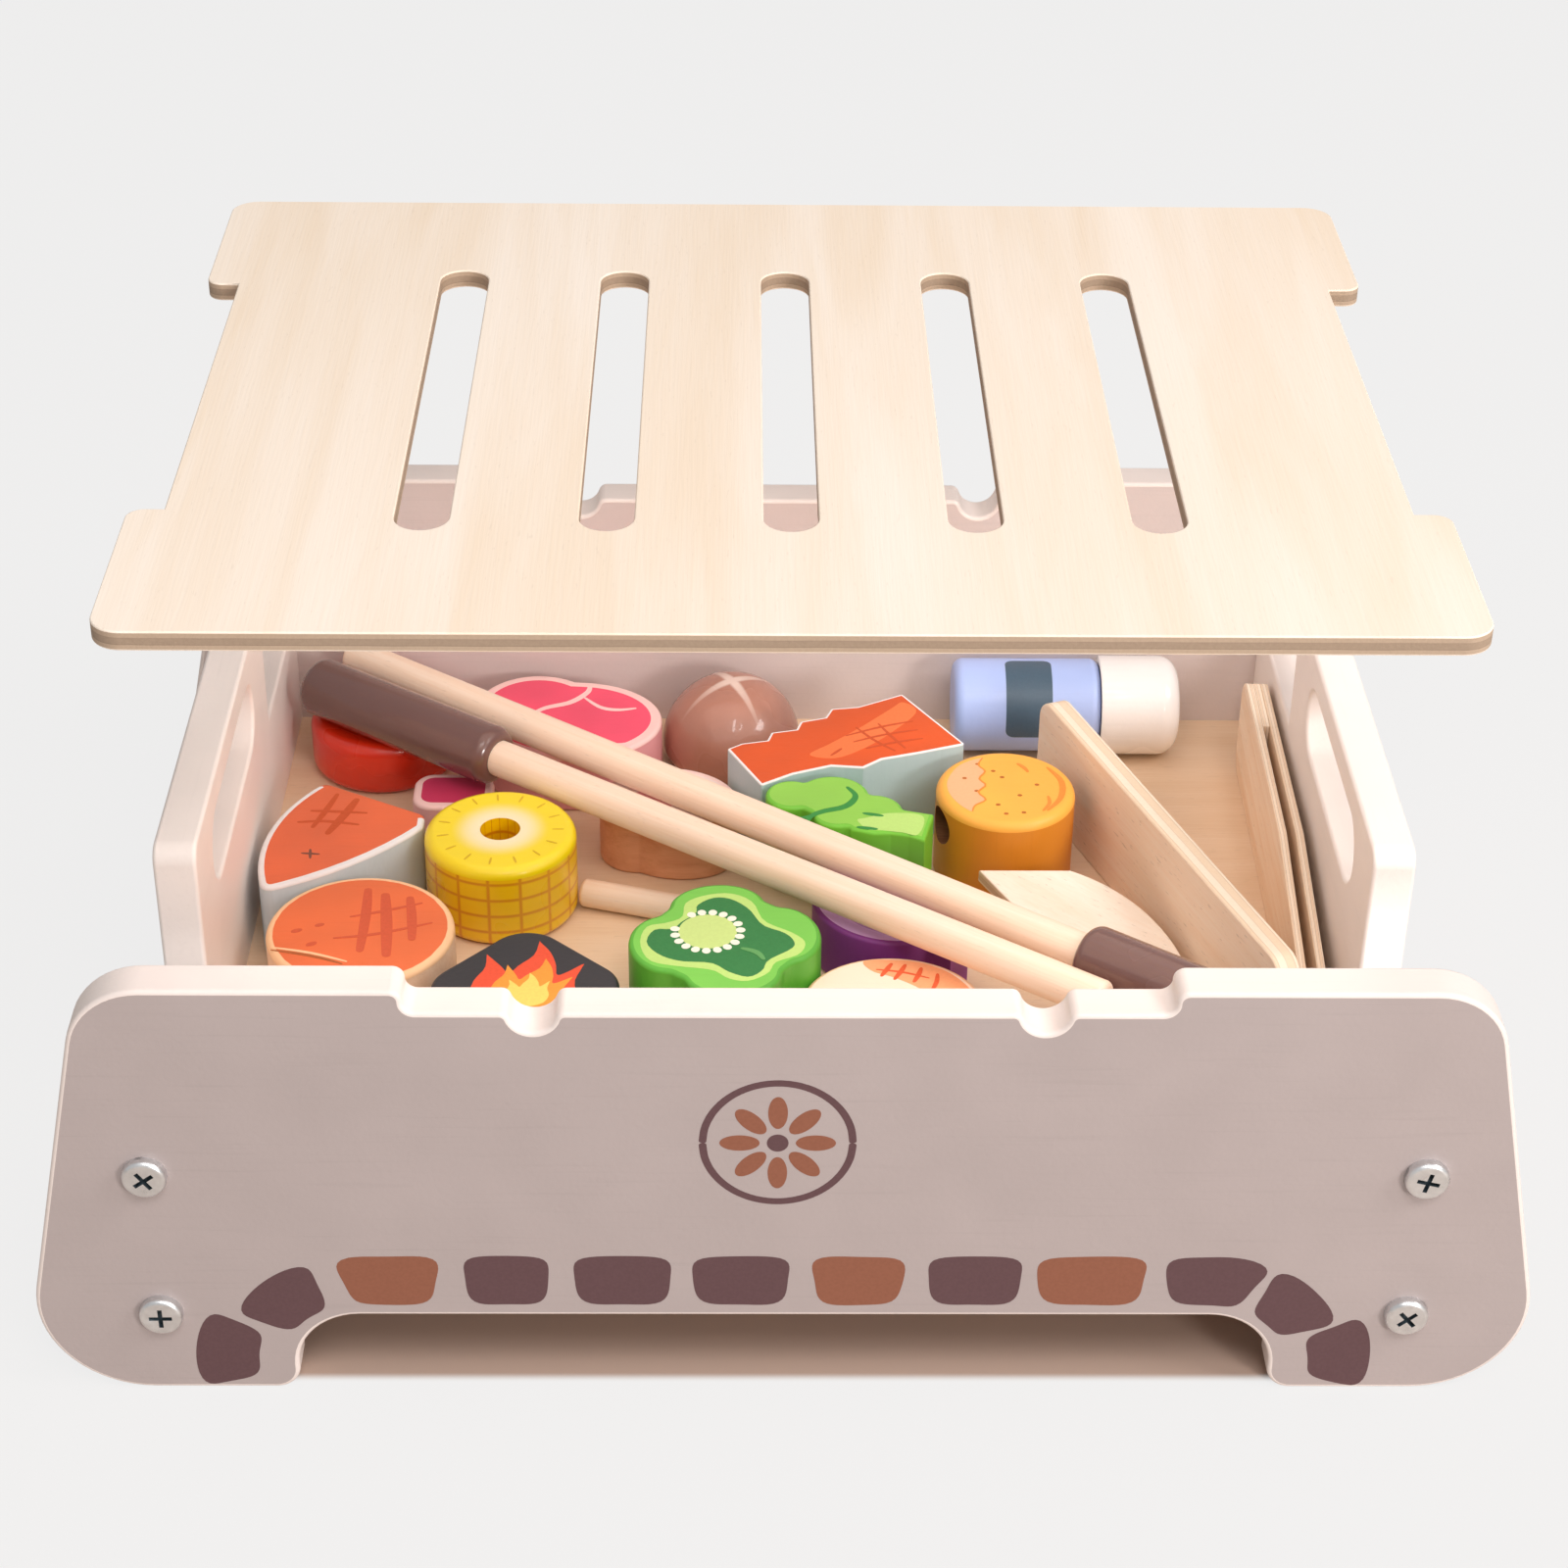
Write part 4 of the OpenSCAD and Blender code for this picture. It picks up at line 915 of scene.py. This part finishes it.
# Onion half: lilac, its cut front half darker and ruled with fine purple lines that lean and bend
onion = {"node": "onion_half", "slot": "onion_paint", "at": (22, -4.4), "round": 1.0, "bands": [(0, 1)]}
onionRules = {"from": -9.5, "to": 12.5, "pitch": 1.15, "width": 0.5, "low": -8.6, "high": 2.4, "slope": -0.55,
              "bend": 0.04, "lean": 0.4}
onionSide = woodPaint("onionSidePurple", "#8E3E94", grain="Z", mottle=0.12)
onionTop = woodPaint("onionTopLilac", "#DCB4E8", mottle=0.05)
cutFood("onionHalf", onion, [onionSide, onionTop])
onionInks = [printInk("onionCutInk", "#BE92CC", speckle=0.04), printInk("onionRuleInk", "#95699F")]
rules = []
for i in range(int((onionRules["to"] - onionRules["from"]) / onionRules["pitch"])):
    x = onionRules["from"] + i * onionRules["pitch"]
    lift = onionRules["slope"] * x
    foot = (x, lift + onionRules["low"] + onionRules["bend"] * x * x)
    rules.append(([foot, (x + onionRules["lean"], lift + onionRules["high"])], onionRules["width"], 0.7, 1))
cutHalf = [(-11.0, 8.4), (-12.2, 4.6), (-9.8, -1.0), (-5.2, -7.0), (0.4, -10.4), (6.0, -12.0), (11.8, -12.6),
           (14.8, -11.2), (14.6, -7.6), (9.0, -3.4), (1.0, 2.2), (-6.0, 6.8)]
printOn("onionRules", onion, onionInks, patches=[(cutHalf, 0)], strokes=rules)

# Pepper slice: green skin, light flesh, a dark chamber that curls round a pale pod ringed with seeds
pepper = {"node": "pepper_slice", "slot": "pepper_paint", "at": (-12.6, -25.8), "round": 1.1,
          "bands": [(0, 1)]}
pod = {"centre": (-3.8, 2.3), "radius": 6.4, "seedAt": 7.2, "seed": (1.05, 0.945), "from": 172, "to": 480,
       "seeds": 17}
pepperSide = woodPaint("pepperSideGreen", "#5CB238", grain="Z", mottle=0.12)
pepperSkin = woodPaint("pepperSkinGreen", "#7CCC50", mottle=0.06)
cutFood("pepperSlice", pepper, [pepperSide, pepperSkin])
pepperInks = [printInk("pepperFleshInk", "#BEE07C", speckle=0.04),
              printInk("pepperChamberInk", "#2A7A3C", speckle=0.08),
              printInk("pepperPodInk", "#C8E088", speckle=0.04),
              printInk("pepperSeedInk", "#F6F4E4", speckle=0.03), printInk("pepperStreakInk", "#5C9E58")]
flesh = [(-17.1, 4), (-12.9, 5.6), (-9.5, 7.8), (-8.7, 13.2), (-4.4, 16.2), (1.3, 16.9), (6, 13.6),
         (8.6, 6.4), (14.6, 2), (17.4, -1.7), (15.9, -6.1), (11, -9), (9.3, -12.9), (5.1, -15.8), (0.9, -15),
         (-2.8, -11.9), (-10.4, -10.5), (-16.2, -8.4), (-18.4, -2)]
chamber = [(-15.4, 2.9), (-17, -1.8), (-14.3, -6.2), (-9.6, -8.7), (-2.9, -9.4), (0.9, -12.6), (5.1, -14.4),
           (8.1, -11.9), (9.4, -8.3), (14.5, -3.9), (14.9, -1), (12.8, 2), (8.2, 4.9), (5.2, 10.9),
           (1.3, 14.7), (-2.6, 15.2), (-6.1, 12.4), (-6.5, 9.3), (-9.5, 6.0), (-11.5, 3.3)]
podX, podY = pod["centre"]
seeds = []
for i in range(pod["seeds"]):
    a = math.radians(pod["from"] + (pod["to"] - pod["from"]) * i / (pod["seeds"] - 1))
    x, y = podX + pod["seedAt"] * math.cos(a), podY + pod["seedAt"] * math.sin(a)
    seeds.append((oval(x, y, *pod["seed"], math.degrees(a)), 3))
printOn("pepperPodAndSeeds", pepper, pepperInks,
        patches=[(flesh, 0), (chamber, 1), (oval(podX, podY, pod["radius"]), 2)] + seeds,
        strokes=[([(3.4, -3.9), (6.8, -5.4), (8.5, -8.3)], 1.4, 0.5, 4)])

# Charcoal block with a plain flame of several tongues, drawn three times: x, y, turn and size of each colour
coal = {"node": "charcoal_block", "slot": "charcoal_paint", "at": (-55.5, -38), "round": 1.2,
        "bands": [(0, 0)]}
flameLayers = [(0, -0.6, 0, 0.98), (0.8, -1.6, -8, 0.68), (0.6, -2.4, 6, 0.4)]
coalPaint = woodPaint("charcoalBlackPaint", "#302E32", roughness=0.4, grain="Y", mottle=0.15, grainDepth=0.6)
cutFood("charcoalBlock", coal, [coalPaint])
flameInks = [printInk("flameRedInk", "#E8502E"), printInk("flameOrangeInk", "#F79A34"),
             printInk("flameYellowInk", "#EBD468")]
flame = [(0, -13), (8, -10.5), (11.4, -4), (10.8, 2), (12.2, 7.2), (12.4, 8.6), (8.8, 5.4), (6.8, 4.6),
         (6.4, 8.4), (5.0, 13.0), (2.6, 16.8), (2.3, 17.0), (1.4, 12.0), (-1.8, 8.0), (-3.8, 5.0),
         (-5.6, 7.6), (-8.8, 11.8), (-9.1, 11.9), (-9.2, 7.0), (-11.4, 2), (-11.8, -5), (-7, -11.5)]
flames = [(moved(flame, *layer), slot) for slot, layer in enumerate(flameLayers)]
printOn("charcoalFlame", coal, flameInks, patches=flames)

# Chicken piece: cream, browned towards one end, with grill marks there
chicken = {"node": "chicken_piece", "slot": "chicken_paint", "at": (23.5, -40.5), "round": 1.0,
           "bands": [(0, 1)]}
chickenSide = woodPaint("chickenSideTan", "#EFC79E", grain="Z", mottle=0.08)
chickenTop = woodPaint("chickenCreamPaint", "#FFE6D0", mottle=0.04)
cutFood("chickenPiece", chicken, [chickenSide, chickenTop])
chickenInks = [printInk("chickenBrownedInk", "#F4A878", speckle=0.06), printInk("chickenMarkInk", "#DF5E36")]
browned = [(-5.8, 15.2), (0, 15.8), (6, 15.0), (11.4, 12.2), (15.0, 8.4), (17.4, 3.4), (16.6, -2.4),
           (12.2, -3.0), (9.4, 1.6), (5.2, 6.0), (0.4, 9.4), (-4.0, 11.6)]
printOn("chickenMarks", chicken, chickenInks, patches=[(browned, 0)], strokes=[
    ([(0.4, 14.6), (-0.8, 12.2), (-2.2, 9.6)], 1.2, 0.5, 1),
    ([(3.4, 14.2), (2.2, 11.4), (0.6, 8.4)], 1.2, 0.5, 1),
    ([(6.8, 13.0), (6.0, 10.2), (4.8, 7.4)], 1.2, 0.5, 1),
    ([(10.2, 10.8), (9.8, 7.6), (8.6, 4.4)], 1.1, 0.5, 1),
    ([(-3.2, 12.2), (2.6, 11.2), (8.4, 9.0)], 0.7, 0.5, 1)])

# Corn slice: turned ring, yellow with a paler middle, kernel lines printed round its side
corn = {"node": "corn_slice", "slot": "corn_paint", "at": (-64.2, 16.9), "bands": [(0, 1)], "edgeSlot": 1,
        "turnedRim": 2.5, "sharp": 45}
kernels = {"radius": 17.4, "wide": 7.5, "high": 4.3, "line": 0.55, "strength": 0.7, "top": "#FFE100",
           "side": "#FFCC00", "lines": "#D8780A", "dashes": (11.8, 14.6), "middle": "#FFF2C4",
           "middleTo": (5.4, 11.5)}
cornTop = woodPaint("cornTopYellow", kernels["top"], roughness=0.3, coat=0.4, mottle=0.04)
tree, shader, under = reopen(cornTop)
parts, flatReach = aroundCentre(tree, corn["at"])
solidTo, goneAt = kernels["middleTo"]
pale = addNode(tree, "MapRange", {0: flatReach, 1: solidTo, 2: goneAt, 3: 1.0, 4: 0.0},
               interpolation_type="SMOOTHSTEP")
tone = addNode(tree, "Mix", {0: pale, 6: under, 7: colour(kernels["middle"])}, data_type="RGBA")
feed(shader, Base_Color=tone)

cornSide = woodPaint("cornSideYellow", kernels["side"], roughness=0.3, coat=0.4, mottle=0.05)
tree, shader, under = reopen(cornSide)
parts, flatReach = aroundCentre(tree, corn["at"], base=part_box("corn_slice")[0].z)
angle = addNode(tree, "Math", {0: parts.outputs["Y"], 1: parts.outputs["X"]}, operation="ARCTAN2")
around = round(2 * math.pi * kernels["radius"] / kernels["wide"])
columns = addNode(tree, "Math", {0: angle, 1: around / (2 * math.pi)}, operation="MULTIPLY")
rows = addNode(tree, "Math", {0: parts.outputs["Z"], 1: 1 / kernels["high"]}, operation="MULTIPLY")
lines = []
for steps, size in ((columns, kernels["wide"]), (rows, kernels["high"])):
    away = addNode(tree, "Math", {0: steps, 1: 0.5}, operation="PINGPONG")
    line = kernels["line"] / size
    lines.append(addNode(tree, "MapRange", {0: away, 1: line * 0.35, 2: line, 3: 1.0, 4: 0.0}))
either = addNode(tree, "Math", {0: lines[0], 1: lines[1]}, operation="MAXIMUM")
shown = addNode(tree, "Math", {0: either, 1: kernels["strength"]}, operation="MULTIPLY")
tone = addNode(tree, "Mix", {0: shown, 6: under, 7: colour(kernels["lines"])}, data_type="RGBA")
feed(shader, Base_Color=tone)
cutFood("cornSlice", corn, [cornSide, cornTop])
dashes = []
for i in range(around):
    a = 2 * math.pi * i / around
    dashes.append(([(r * math.cos(a), r * math.sin(a)) for r in kernels["dashes"]], 0.5, 0.5, 0))
printOn("cornDashes", corn, [printInk("cornDashInk", "#D9B014")], strokes=dashes)
print("stage: play food is painted")


# Stones run along the arch: straight over its flat top, then round its shoulders. "stones" gives (place
# along the path, length, ink), "corner" how square they are, "wave" how uneven, and "flare" how much wider
# they are at the top
stoneFacts = {"height": 12.7, "line": 28.8, "half": 85.5, "turnHeight": 6.5, "corner": 4.6, "flare": 0.1,
              "wave": 0.018, "out": 5.0, "outFrom": 110, "segments": 56,
              "stones": [(-117.6, 13.5, 0), (-101.2, 15.5, 0), (-79, 18.6, 1), (-55.7, 16.5, 0),
                         (-32.6, 19, 0), (-9, 18.9, 0), (14.4, 17.7, 1), (37.7, 18.3, 0), (61, 21.2, 1),
                         (85.3, 18, 0), (103.8, 14.5, 0), (118.2, 12.5, 0)]}
stoneInks = [printInk("stonePlumInk", "#5C4044"), printInk("stoneTerracottaInk", "#8C5640")]
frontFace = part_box("front_panel")[0].y


def alongArch(s, up):
    # a point of the stone row, s along it and up from its middle, on the front face
    half, turnHeight = stoneFacts["half"], stoneFacts["turnHeight"]
    radius = stoneFacts["line"] - turnHeight
    if abs(s) <= half:
        return s, stoneFacts["line"] + up
    side = math.copysign(1, s)
    angle = (abs(s) - half) / radius
    return side * (half + (radius + up) * math.sin(angle)), turnHeight + (radius + up) * math.cos(angle)


def standUp(bm):
    # turns a print drawn flat in X and Y to stand on the front face
    for v in bm.verts:
        v.co = (v.co.x, frontFace - v.co.z, v.co.y)
    bmesh.ops.recalc_face_normals(bm, faces=bm.faces[:])


bm = bmesh.new()
power = stoneFacts["corner"]
for place, length, slot in stoneFacts["stones"]:
    made = bmesh.ops.create_circle(bm, cap_ends=True, segments=stoneFacts["segments"], radius=1)["verts"]
    wave = chance.uniform(0, 6.28)
    out = stoneFacts["out"] if abs(place) > stoneFacts["outFrom"] else 0
    for v in made:
        angle = math.atan2(v.co.y, v.co.x)
        reach = (abs(math.cos(angle)) ** power + abs(math.sin(angle)) ** power) ** (-1 / power)
        reach *= 1 + stoneFacts["wave"] * math.sin(3 * angle + wave)
        across, up = reach * math.cos(angle), reach * math.sin(angle)
        along = place + across * length / 2 * (1 + stoneFacts["flare"] * up)
        x, z = alongArch(along, out + up * stoneFacts["height"] / 2)
        v.co = (x * mm, z * mm, ink["proud"])
    thicken(bm, made, slot)
standUp(bm)
finishPiece("archStones", bm, stoneInks, "box", sharp=ink["sharp"])

# A plain rosette over the arch: a ring, eight petals and a dot
rosette = {"centre": (-2, 64), "ring": 14.6, "ringWidth": 1.5, "parts": 24, "petals": 8, "petalAt": 7.4,
           "petal": (3.9, 1.9), "dot": 2.1}
bm = bmesh.new()
cx, cy = rosette["centre"]
opposite = rosette["parts"] // 2
turns = [2 * math.pi * i / rosette["parts"] for i in range(rosette["parts"] + 1)]
ring = [(cx + rosette["ring"] * math.cos(a), cy + rosette["ring"] * math.sin(a)) for a in turns]
for half in (ring[:opposite + 1], ring[opposite:]):
    addStroke(bm, half, rosette["ringWidth"], ink["proud"], 1.0, 0)
for i in range(rosette["petals"]):
    a = 2 * math.pi * i / rosette["petals"]
    x, y = cx + rosette["petalAt"] * math.cos(a), cy + rosette["petalAt"] * math.sin(a)
    addPatch(bm, oval(x, y, *rosette["petal"], math.degrees(a)), ink["proud"], 1)
addPatch(bm, oval(cx, cy, rosette["dot"]), ink["proud"], 0)
standUp(bm)
finishPiece("panelRosette", bm, stoneInks, "box", sharp=ink["sharp"])
print("stage: front panel is printed")
